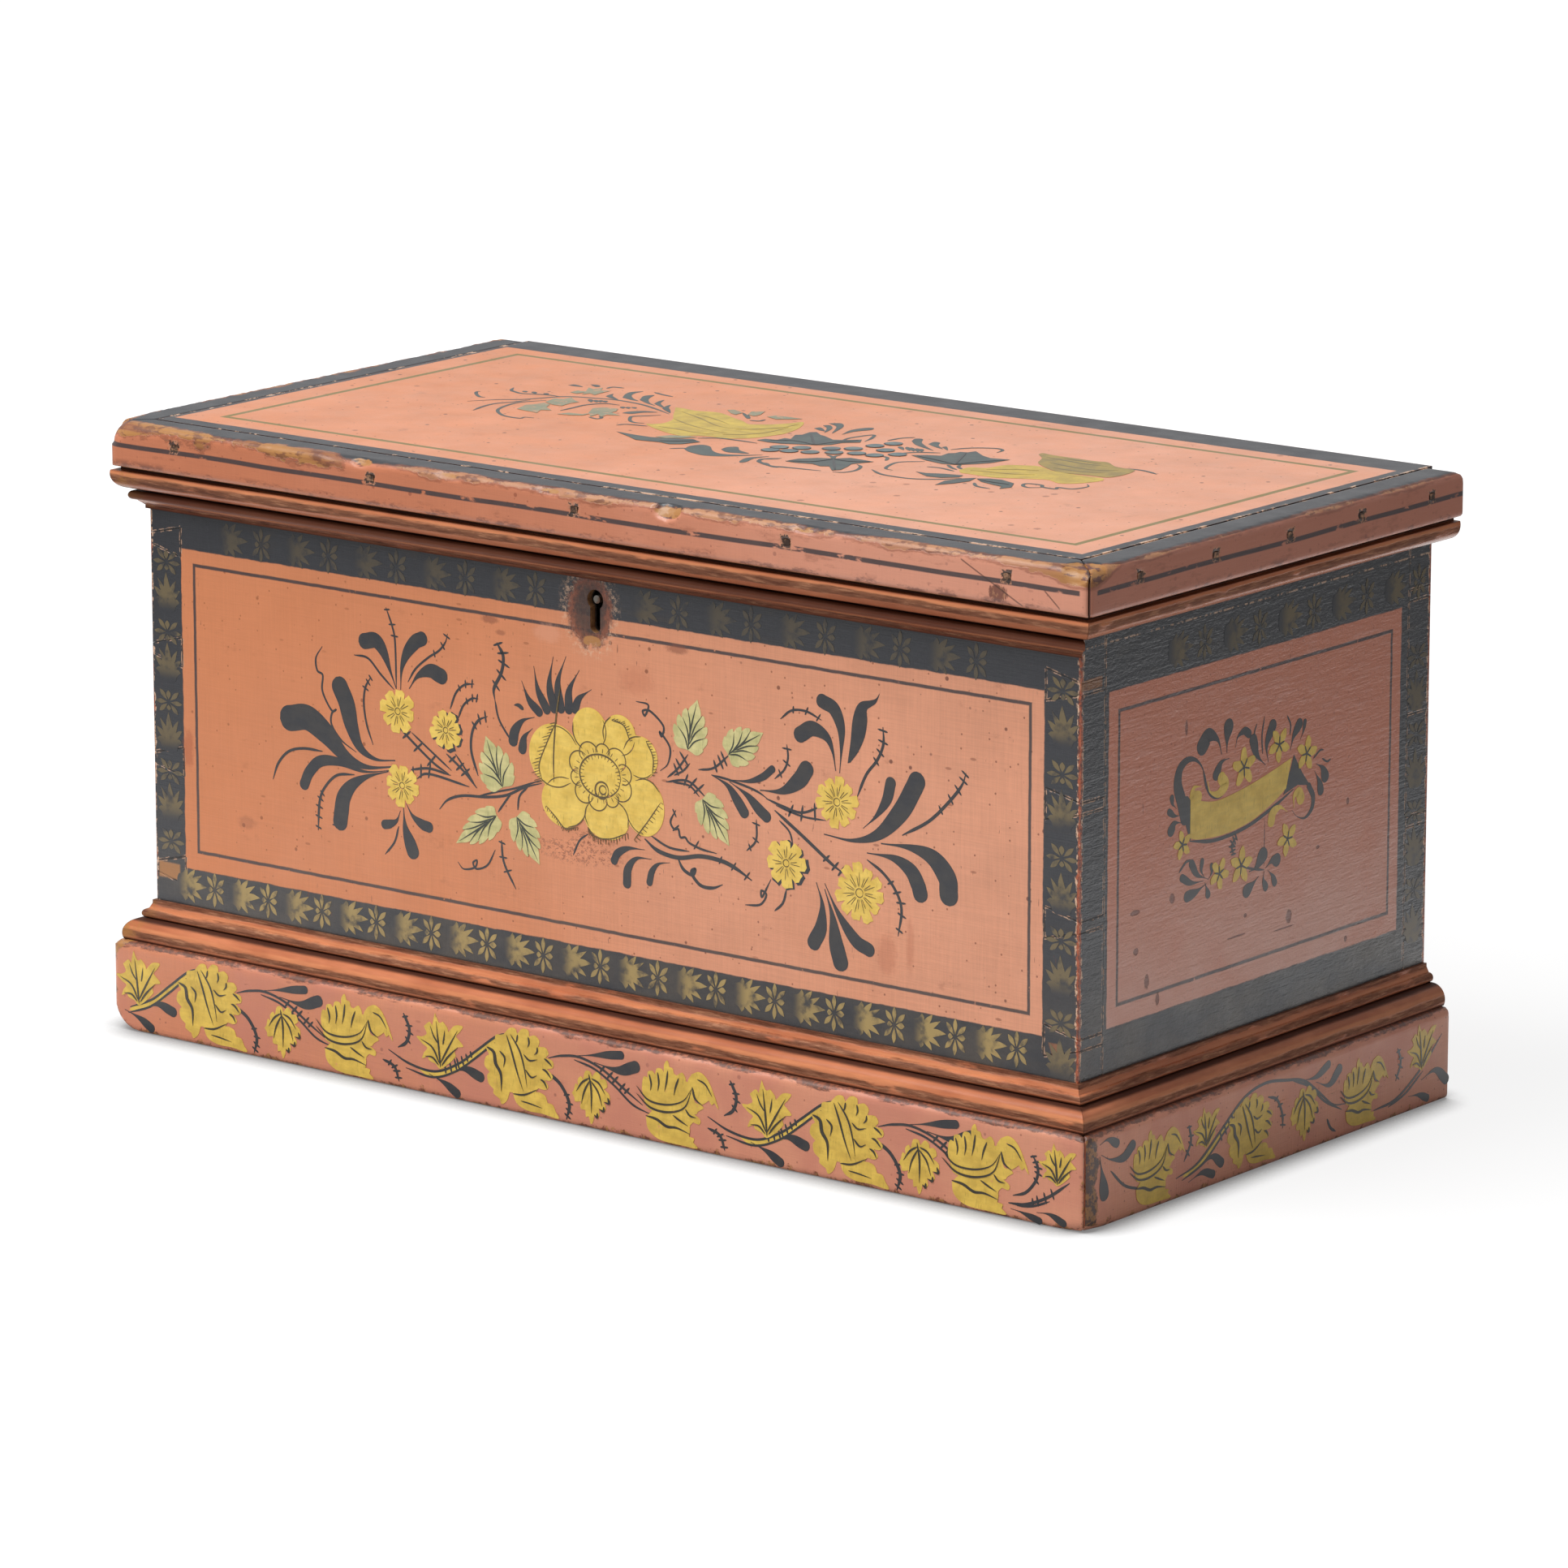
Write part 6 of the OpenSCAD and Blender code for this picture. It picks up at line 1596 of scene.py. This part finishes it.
# fruit and leaf spray on the lid, millimetres from the middle of the lid
lidSpray = {
    # closed outlines
    "fruit": [
        (-81, 35, -76, 35, -70, 34, -64, 36, -58, 36, -48, 31, -41, 28, -35, 24, -30, 27, -26, 31, -23,
         36, -21, 41, -17, 36, -13, 27, -11, 17, -12, 11, -14, 4, -17, -1, -24, -6, -29, -6, -35, -8, -40,
         -12, -47, -11, -57, -7, -67, -1, -65, 1, -63, 5, -65, 13, -71, 21),
        (89, -2, 89, 5, 95, 8, 97, 17, 103, 21, 109, 23, 118, 19, 125, 18, 135, 18, 143, 18, 145, 13, 141,
         4, 135, 0, 128, 3, 121, 0, 115, -3, 108, -6, 97, -6, 93, -6),
    ],
    "shade": [
        (94, 43, 94, 46, 100, 45, 111, 45, 120, 45, 125, 46, 132, 41, 137, 40, 143, 39, 145, 29, 143, 21,
         135, 20, 124, 18, 117, 20, 110, 24, 104, 29, 100, 37),
    ],
    "leaves": [
        (-11, -1, -10, 3, -5, 4, -5, 9, -2, 9, -6, 17, -4, 19, -5, 25, -3, 27, 2, 23, 5, 22, 12, 18, 16,
         20, 21, 25, 24, 20, 19, 15, 18, 9, 14, 5, 7, 2, 1, -1, -5, -2),
        (25, -29, 26, -22, 31, -16, 37, -13, 41, -8, 53, -9, 51, -13, 49, -18, 51, -23, 53, -30, 51, -33,
         45, -27, 42, -29, 37, -27, 30, -29),
        (56, 11, 61, 15, 66, 17, 65, 23, 67, 25, 67, 28, 70, 29, 71, 33, 79, 27, 84, 25, 92, 27, 90, 17,
         87, 12, 82, 6, 76, 4, 67, 6),
        (78, -15, 83, -15, 89, -12, 97, -10, 98, -14, 93, -19, 87, -20),
        (100, -32, 98, -23, 100, -16, 104, -11, 106, -18, 104, -25),
        (105, -12, 109, -9, 114, -8, 122, -11, 126, -18, 124, -23, 122, -19, 117, -18, 110, -16),
        (-66, -21, -55, -22, -48, -22, -41, -20, -36, -17, -32, -15, -26, -18, -29, -26, -33, -29, -38,
         -28, -49, -30, -56, -26),
    ],
    "faded": [
        (-136, 35, -136, 40, -132, 40, -137, 48, -133, 46, -132, 51, -129, 46, -125, 47, -125, 41, -124,
         36, -128, 38, -129, 34, -131, 38, -132, 34),
        (-129, -7, -132, 2, -130, 5, -129, 10, -125, 9, -122, 3, -116, -1, -120, -3, -117, -9, -121, -8,
         -124, -8),
        (-130, 12, -132, 20, -128, 21, -128, 26, -123, 22, -119, 20, -120, 15, -119, 9, -124, 9),
        (-101, 4, -106, 13, -103, 17, -97, 18, -94, 13, -94, 10, -87, 7, -92, 5, -91, 0, -96, 4, -95, -2),
        (-61, 43, -59, 45, -52, 42, -52, 37, -55, 38), (-48, 40, -51, 46, -47, 50, -44, 43, -44, 39),
        (-39, 41, -38, 45, -31, 46, -25, 46, -29, 42, -33, 39),
        (-47, -20, -44, -14, -37, -11, -33, -11, -37, -16, -42, -20),
        (-109, -6, -107, -1, -101, 0, -99, 6, -99, -2, -104, -5),
    ],
    "commas": [
        (-112, 39, -116, 46, -117, 51, -114, 55, -114, 50, -112, 45, -107, 40, -102, 37, -106, 37),
        (-103, 39, -107, 46, -107, 49, -105, 51, -103, 46, -100, 41, -95, 36, -90, 33, -96, 35),
        (-93, 36, -95, 41, -95, 45, -92, 39, -88, 35, -82, 30, -88, 33),
        (-84, 30, -86, 35, -86, 38, -83, 33, -79, 29, -75, 24, -80, 27),
        (-119, 37, -120, 40, -120, 43, -117, 39, -110, 34, -115, 35),
        (-90, 12, -90, 16, -86, 21, -80, 22, -84, 18, -86, 13),
        (-22, -33, -24, -27, -22, -22, -17, -23, -11, -29, -5, -32, 2, -30, 10, -24, 1, -35, -7, -39, -13,
         -38, -18, -36),
        (-10, -25, -11, -20, -8, -17, -3, -22, 4, -25, 0, -27, -5, -28),
        (11, -40, 9, -34, 10, -30, 14, -25, 12, -32, 14, -39, 13, -42), (-9, 33, -8, 36, -2, 31, -5, 31),
        (-10, 40, -8, 42, -3, 37, 0, 28, -5, 36), (-11, 45, -7, 48, -2, 43, 2, 33, 3, 29, -4, 41),
        (8, 29, 5, 38, 6, 45, 9, 48, 11, 44, 8, 37),
        (38, 35, 36, 40, 39, 41, 43, 35, 50, 29, 57, 24, 45, 29),
        (47, 34, 46, 39, 49, 39, 52, 34, 58, 29, 52, 31), (55, 32, 56, 34, 61, 28),
        (-147, 47, -146, 50, -140, 48, -143, 47), (-141, 54, -138, 55, -135, 53, -136, 51),
    ],
    # lines of the brush and their widths
    "tendrils": [
        (-74, 22, -82, 26, -94, 31, -104, 33, -113, 33, -120, 31, -127, 29, -133, 25, -137, 18, -141, 11,
         -148, 5, -152, 0, -156, -6),
        (-141, -20, -143, -13, -144, -6, -143, -1, -140, 5, -138, 12),
        (-111, -18, -115, -19, -115, -22, -122, -22, -128, -19, -134, -13, -137, -5, -138, 3, -136, 9,
         -132, 15),
        (-156, 5, -159, 5, -164, 9, -167, 13, -166, 14),
        (-161, 29, -158, 24, -154, 22, -150, 21, -145, 23, -139, 25, -133, 25),
        (-130, 51, -130, 55, -125, 56), (-109, 56, -103, 54, -97, 53),
        (-69, 0, -73, -1, -77, 1, -81, 6, -82, 9, -78, 14, -75, 18), (-75, -10, -73, -6, -64, -4),
        (-113, 1, -113, 9, -113, 17, -109, 24, -102, 25), (-52, 42, -43, 34, -48, 40),
        (-40, 31, -36, 32, -36, 36), (-32, -12, -26, -7, -17, -6, -7, -6), (-27, -36, -23, -32, -17, -32),
        (31, -38, 30, -41, 26, -40, 22, -37, 20, -37, 17, -35, 15, -31, 19, -28, 20, -25),
        (29, -39, 36, -38, 44, -37), (-95, -3, -90, -4, -90, -1, -93, 1),
        (16, 18, 15, 26, 18, 36, 22, 30, 24, 23),
        (48, -36, 43, -37, 37, -38, 27, -40, 19, -37, 16, -34, 16, -29, 20, -25),
        (53, -35, 57, -33, 58, -27, 55, -20, 51, -17), (37, -14, 33, -10, 29, -8),
        (37, -14, 34, -9, 34, -5), (30, 30, 31, 37, 34, 42), (50, 11, 54, 17, 62, 22),
        (61, 30, 64, 36, 68, 40, 74, 43, 78, 41, 79, 36),
        (62, -22, 70, -27, 78, -28, 86, -27, 94, -22, 100, -15),
        (68, 4, 61, -3, 62, -11, 65, -17, 69, -18), (75, -4, 81, -3, 89, -5), (79, 4, 84, 0, 88, -2),
        (83, 7, 85, 3, 89, 0), (109, -19, 114, -24, 121, -25), (55, -4, 52, 1, 48, 3),
        (135, -11, 131, -14, 127, -12, 126, -8, 132, -7, 135, -10, 141, -10, 140, -7, 146, -6, 148, 1,
         145, 5),
        (138, 40, 144, 41, 149, 40, 154, 38),
    ],
    "streaks": [
        (-73, 29, -58, 22, -41, 13, -30, 14), (-66, 15, -54, 9, -42, 5, -29, 3),
        (-65, 28, -54, 25, -41, 19), (-60, -2, -50, -2, -41, -3, -32, -2),
        (-29, 0, -22, 6, -18, 15, -18, 28), (-32, 12, -25, 18, -20, 26, -19, 36),
        (93, 0, 101, 2, 110, 4, 118, 8), (97, 5, 105, 12, 114, 16),
    ],
    "hatching": [
        (100, 40, 109, 39, 120, 38, 130, 39), (107, 32, 118, 30, 130, 30, 138, 35),
        (115, 24, 127, 24, 137, 27), (107, 42, 116, 42, 125, 42),
    ],
    "veins": [
        (13, 5, -3, 23), (13, 5, 2, 7, -7, 2), (13, 5, 16, 15, 21, 23), (37, -14, 51, -31),
        (37, -14, 34, -23, 26, -28), (37, -14, 45, -14, 52, -10), (81, 6, 70, 28), (81, 6, 71, 9, 59, 11),
        (81, 6, 85, 16, 91, 25), (106, -13, 113, -14, 122, -14), (-40, -26, -34, -22, -29, -17),
    ],
    "dabs": [
        (-120, 28, -115, 23), (-117, 28, -113, 24), (-115, 29, -112, 25), (-113, 29, -110, 26),
        (-99, 23, -96, 20), (-97, 24, -94, 21), (-95, 25, -92, 23), (-153, 26, -150, 24),
        (-149, 27, -145, 24), (-143, 27, -140, 26), (41, 23, 47, 18), (44, 24, 50, 18), (46, 24, 52, 18),
        (49, 24, 54, 18), (51, 24, 55, 19),
    ],
    "grapes": [
        (6, -14), (5, -7), (13, -11), (13, -3), (21, -8), (23, 3), (29, -3), (30, 8), (37, 1), (33, 18),
        (45, 2), (42, 13), (36, 26), (51, 9),
    ],
    "grape": 3.6,
    "thick": {"tendrils": 1.5, "streaks": 1.1, "hatching": 1.2, "veins": 1, "dabs": 2.2},
}


def paintLidSpray():
    spray, thick = lidSpray, lidSpray["thick"]

    def closed(key, count=4):
        return [[p[:] for p in sweep((*flat, flat[0], flat[1]), count)[:-1]] for flat in spray[key]]

    def lines(key, kind):
        return [kind(thick[key], *flat) for flat in spray[key]]

    strokes = lines("tendrils", tendril) + lines("dabs", blade)
    paintPiece("lid_dark_strokes", "lidTop", 1, strokes, closed("commas"), films["blue"])
    paintPiece("lid_gold_fruit", "lidTop", 1.5, [], closed("fruit"), films["goldLid"])
    paintPiece("lid_olive_shade", "lidTop", 2, [], closed("shade"), films["olive"])
    paintPiece("lid_fruit_streaks", "lidTop", 2.2, lines("streaks", blade), [], films["olive"])
    paintPiece("lid_shade_hatching", "lidTop", 2.4, lines("hatching", blade), [], films["hatch"])
    paintPiece("lid_dark_leaves", "lidTop", 2.5, [], closed("leaves", 1), films["blue"])
    paintPiece("lid_faded_leaves", "lidTop", 2.5, [], closed("faded", 1), films["faded"])
    size = spray["grape"]
    grapes = [blobShape(u, v, size, size, 0.02, u) for u, v in spray["grapes"]]
    paintPiece("lid_grapes", "lidTop", 3, [], grapes, films["grape"])
    rings = [ring(0.8, u, v, size, size, 200, 380) for u, v in spray["grapes"]]
    paintPiece("lid_dark_lines", "lidTop", 4, rings + lines("veins", tendril), [], films["black"])


paintLidSpray()
print("lid spray painted")


# worn edges: the lid strips and the plinth are rubbed round where hands and floors wear them
wornEdges = {
    # size of the small faces, then radii of the rubbed edges in millimetres
    "lidGrain": 1.1,
    "plinthGrain": 1.3,
    "lidCorners": {"frontLeft": 7.0, "frontRight": 2.4, "rearRight": 6.0, "rearLeft": 4.0},
    # least radius, then what slow wear, quick wear and the right corner add
    "lidEdge": (2.4, 2.6, 2.2, 2.0),
    "leftCorner": 5.0,
    "leftBall": 9.0,
    "lidFoot": 0.9,
    "plinthRound": 14.0,
    "plinthToe": 4.5,
    "plinthEdge": (1.0, 2.2, 2.0),
}


def rubRound(a, b, radius):
    # two depths under two faces, pulled to an arc between the faces
    if a < radius and b < radius:
        da, db = radius - a, radius - b
        reach = math.hypot(da, db)
        if reach > radius:
            return radius - da * radius / reach, radius - db * radius / reach
    return a, b


def drift(*place):
    # smooth chance value of a place, about -1 to 1
    return noise.noise(Vector(place))


def wornCopy(node, grain, move, finish, body):
    # a copy of the sawn piece in small even faces, then every point moved by the wear
    piece = bpy.data.objects.new(node + "_worn", nodes[node].data.copy())
    piece.matrix_world = nodes[node].matrix_world.copy()
    bpy.context.scene.collection.objects.link(piece)
    bpy.ops.object.select_all(action="DESELECT")
    piece.select_set(True)
    bpy.context.view_layer.objects.active = piece
    bpy.ops.object.transform_apply(location=True, rotation=True, scale=True)
    bpy.ops.object.mode_set(mode="EDIT")
    bpy.ops.mesh.select_all(action="SELECT")
    bpy.ops.mesh.remove_doubles(threshold=1e-6)
    bpy.ops.object.mode_set(mode="OBJECT")
    fine = piece.modifiers.new("fine", "REMESH")
    fine.mode = "VOXEL"
    fine.voxel_size = grain * mm
    bpy.ops.object.modifier_apply(modifier="fine")
    for vertex in piece.data.vertices:
        vertex.co = Vector(move(*(vertex.co / mm))) * mm
    bpy.ops.object.shade_smooth()
    piece.data.materials.clear()
    piece.data.materials.append(finishes[finish])
    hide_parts(node)
    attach(piece, body)
    print(piece.name, len(piece.data.polygons), "faces")


def lidWear(x, y, z):
    # a point of a lid strip where wear has left it
    corners = wornEdges["lidCorners"]
    top, low = planes["lidTop"] - z, z - planes["lidUnder"]
    front, rear = y - planes["lidFront"], planes["lidBack"] - y
    right, left = planes["lidEnd"] - x, x + planes["lidEnd"]
    slow = max(drift(x / 34, y / 34, 3.1), 0)
    quick = max(drift(x / 11, y / 11, 7.7) - 0.12, 0)
    least, bySlow, byQuick, byCorner = wornEdges["lidEdge"]
    radius = least + bySlow * slow + byQuick * quick + byCorner * max(0, 1 - (right + front) / 30)
    radius += wornEdges["leftCorner"] * max(0, 1 - (left + front) / 34)
    ball = wornEdges["leftBall"]
    reach = math.hypot(ball - top, ball - front, ball - left)
    if max(top, front, left) < ball < reach:
        top, front, left = [ball - (ball - depth) * ball / reach for depth in (top, front, left)]
    front, left = rubRound(front, left, corners["frontLeft"])
    front, right = rubRound(front, right, corners["frontRight"])
    top, rear = rubRound(top, rear, corners["rearRight"] if x > 0 else corners["rearLeft"])
    top, front = rubRound(top, front, radius)
    top, right = rubRound(top, right, radius * 0.9)
    top, left = rubRound(top, left, radius)
    low, front = rubRound(low, front, wornEdges["lidFoot"])
    low, right = rubRound(low, right, wornEdges["lidFoot"])
    low, left = rubRound(low, left, wornEdges["lidFoot"])
    nx = planes["lidEnd"] - right if x > 0 else left - planes["lidEnd"]
    ny = front + planes["lidFront"] if y < 0 else planes["lidBack"] - rear
    nz = planes["lidTop"] - top if top < 9 else low + planes["lidUnder"]
    near = max(0, 1 - min(top, 4) / 4) * max(0, 1 - min(front, right, left, 5) / 5)
    rough = near * 0.5 * drift(nx / 2.6, ny / 2.6, nz / 2.0)
    nz += rough
    ny += rough * 0.6
    for cx, cy, cz, rx, ry, rz, depth in lidChips:
        gap = ((nx - cx) / rx) ** 2 + ((ny - cy) / ry) ** 2 + ((nz - cz) / rz) ** 2
        if gap < 1:
            dent = depth * (1 - gap) ** 0.5 * (1 + 0.3 * drift(nx, ny, nz))
            ny += dent * 0.7
            nz -= dent * 0.8
    return nx, ny, nz


def plinthWear(x, y, z):
    # a point of the plinth where wear has left it
    reach = planes["plinthEnd"]
    top, low = planes["plinthTop"] - z, z
    front = y - planes["plinthFront"]
    right, left = reach - x, x + reach
    slow = max(drift(x / 30, y / 30, z / 30 + 5.5), 0)
    quick = max(drift(x / 6, y / 6, z / 6) - 0.1, 0)
    least, bySlow, byQuick = wornEdges["plinthEdge"]
    edge = least + bySlow * slow + byQuick * quick
    left, low = rubRound(left, low, 1.6 + wornEdges["plinthRound"] * max(0, 1 - front / 25))
    toe = wornEdges["plinthToe"]
    right, low = rubRound(right, low, 1.6 + quick + toe * max(0, 1 - front / 16))
    front, low = rubRound(front, low, 0.8 + 1.6 * slow + quick + toe * max(0, 1 - right / 16))
    top, front = rubRound(top, front, 1.0 + quick)
    top, left = rubRound(top, left, 2.2)
    top, right = rubRound(top, right, 1.0 + quick)
    front, left = rubRound(front, left, edge)
    front, right = rubRound(front, right, edge)
    nx = reach - right if x > 0 else left - reach
    return nx, front + planes["plinthFront"], low if low < 12 else planes["plinthTop"] - top


for side in ("front", "left", "right"):
    wornCopy("lid_strip_" + side, wornEdges["lidGrain"], lidWear, "lid", "lid")
    wornCopy("plinth_" + side, wornEdges["plinthGrain"], plinthWear, "plinth", "case")
print("worn edges made")

# stage: white floor, one soft key from above the front left, low even sky
stage = {
    "floor": 30.0, "floorMatt": 0.5, "floorGlow": (1.42, 1.68), "glowReach": (0.4, 1.1), "glowShare": 0.6,
    "crevice": (0.5, 0.85, 0.25, 1.0), "creviceReach": 0.022, "creviceRays": 8,
    "gloss": [(0.27, 0.8), (0.9, 0.3), (0.36, 3.6), (0.5, 3.1), (0.66, 1.5)],
    "glossTop": 4, "skyGloss": 0.75, "skyLight": 0.24, "keyWatts": 118.0, "keyFrom": (-0.85, -1.6, 2.9),
    "keyAt": (0, 0, 0.12), "keySize": 2.0,
}
bpy.ops.object.select_all(action="DESELECT")
bpy.ops.mesh.primitive_plane_add(size=stage["floor"], location=(0, 0, 0))
floor = bpy.context.object
floor.name = "floor"
floorPaint = bpy.data.materials.new("floor")
g = Graph(floorPaint)
g.tree.nodes.clear()
ray = g.add("ShaderNodeLightPath")
toCamera = g.read(ray, output="Is Camera Ray")
share = g.either(toCamera, g.read(ray, output="Is Glossy Ray")) * stage["glowShare"]
# what the paint reflects is dim beside the box, bright in front of it and dim far away
away = g.vector("LENGTH", g.read(g.add("ShaderNodeNewGeometry"), output="Position"), output="Value")
dim = g.add("ShaderNodeValToRGB")
stops = dim.color_ramp.elements
for k, (place, shade) in enumerate(stage["gloss"]):
    stop = stops[k] if k < 2 else stops.new(place)
    stop.position = place
    grey = shade / stage["glossTop"]
    stop.color = (grey, grey, grey, 1)
bright = g.read(dim, [away]) * stage["glossTop"]
lit = g.read(g.add("ShaderNodeMapRange"), (away, *stage["glowReach"], *stage["floorGlow"]))
level = g.read(g.blend(toCamera, bright, lit))
# the narrow shadow close to the foot
crevice = g.add("ShaderNodeAmbientOcclusion", samples=stage["creviceRays"])
crevice.inputs["Distance"].default_value = stage["creviceReach"]
close = g.read(g.add("ShaderNodeMapRange"), (g.read(crevice, output="AO"), *stage["crevice"]))
glow = g.add("ShaderNodeEmission")
g.wire(glow.inputs["Strength"], level * close)
grey = stage["floorMatt"]
matt = g.read(g.add("ShaderNodeBsdfDiffuse"), [(grey, grey, grey, 1)])
mixed = g.read(g.add("ShaderNodeMixShader"), (share, matt, g.read(glow)))
g.wire(g.add("ShaderNodeOutputMaterial").inputs[0], mixed)
floor.data.materials.append(floorPaint)

world = bpy.data.worlds.new("studio")
bpy.context.scene.world = world
g = Graph(world)
sky = g.tree.nodes["Background"]
sky.inputs["Color"].default_value = (1, 1, 1, 1)
ray = g.add("ShaderNodeLightPath")
lamps = g.read(g.blend(g.read(ray, output="Is Glossy Ray"), stage["skyLight"], stage["skyGloss"]))
level = g.blend(g.read(ray, output="Is Camera Ray"), lamps, 1.0)
g.wire(sky.inputs["Strength"], g.read(level))

key = bpy.data.lights.new("key", "AREA")
key.energy = stage["keyWatts"]
key.size = stage["keySize"]
lamp = bpy.data.objects.new("key", key)
lamp.location = stage["keyFrom"]
lamp.rotation_euler = (Vector(stage["keyAt"]) - lamp.location).to_track_quat("-Z", "Y").to_euler()
bpy.context.scene.collection.objects.link(lamp)
bpy.context.scene.view_settings.view_transform = "Standard"

# camera at the photograph's own angle
view = {"from": (1.9014, -2.4228, 0.8279), "azimuth": 38.0997, "elevation": 13.0743, "lens": 183.15,
        "sensor": 36}
eye = bpy.data.cameras.new("camera")
eye.lens = view["lens"]
eye.sensor_width = view["sensor"]
camera = bpy.data.objects.new("camera", eye)
camera.location = view["from"]
turn = math.radians(view["azimuth"])
tilt = math.radians(view["elevation"])
ahead = Vector((-math.sin(turn) * math.cos(tilt), math.cos(turn) * math.cos(tilt), -math.sin(tilt)))
camera.rotation_euler = ahead.to_track_quat("-Z", "Y").to_euler()
bpy.context.scene.collection.objects.link(camera)
bpy.context.scene.camera = camera
print("stage and camera set")
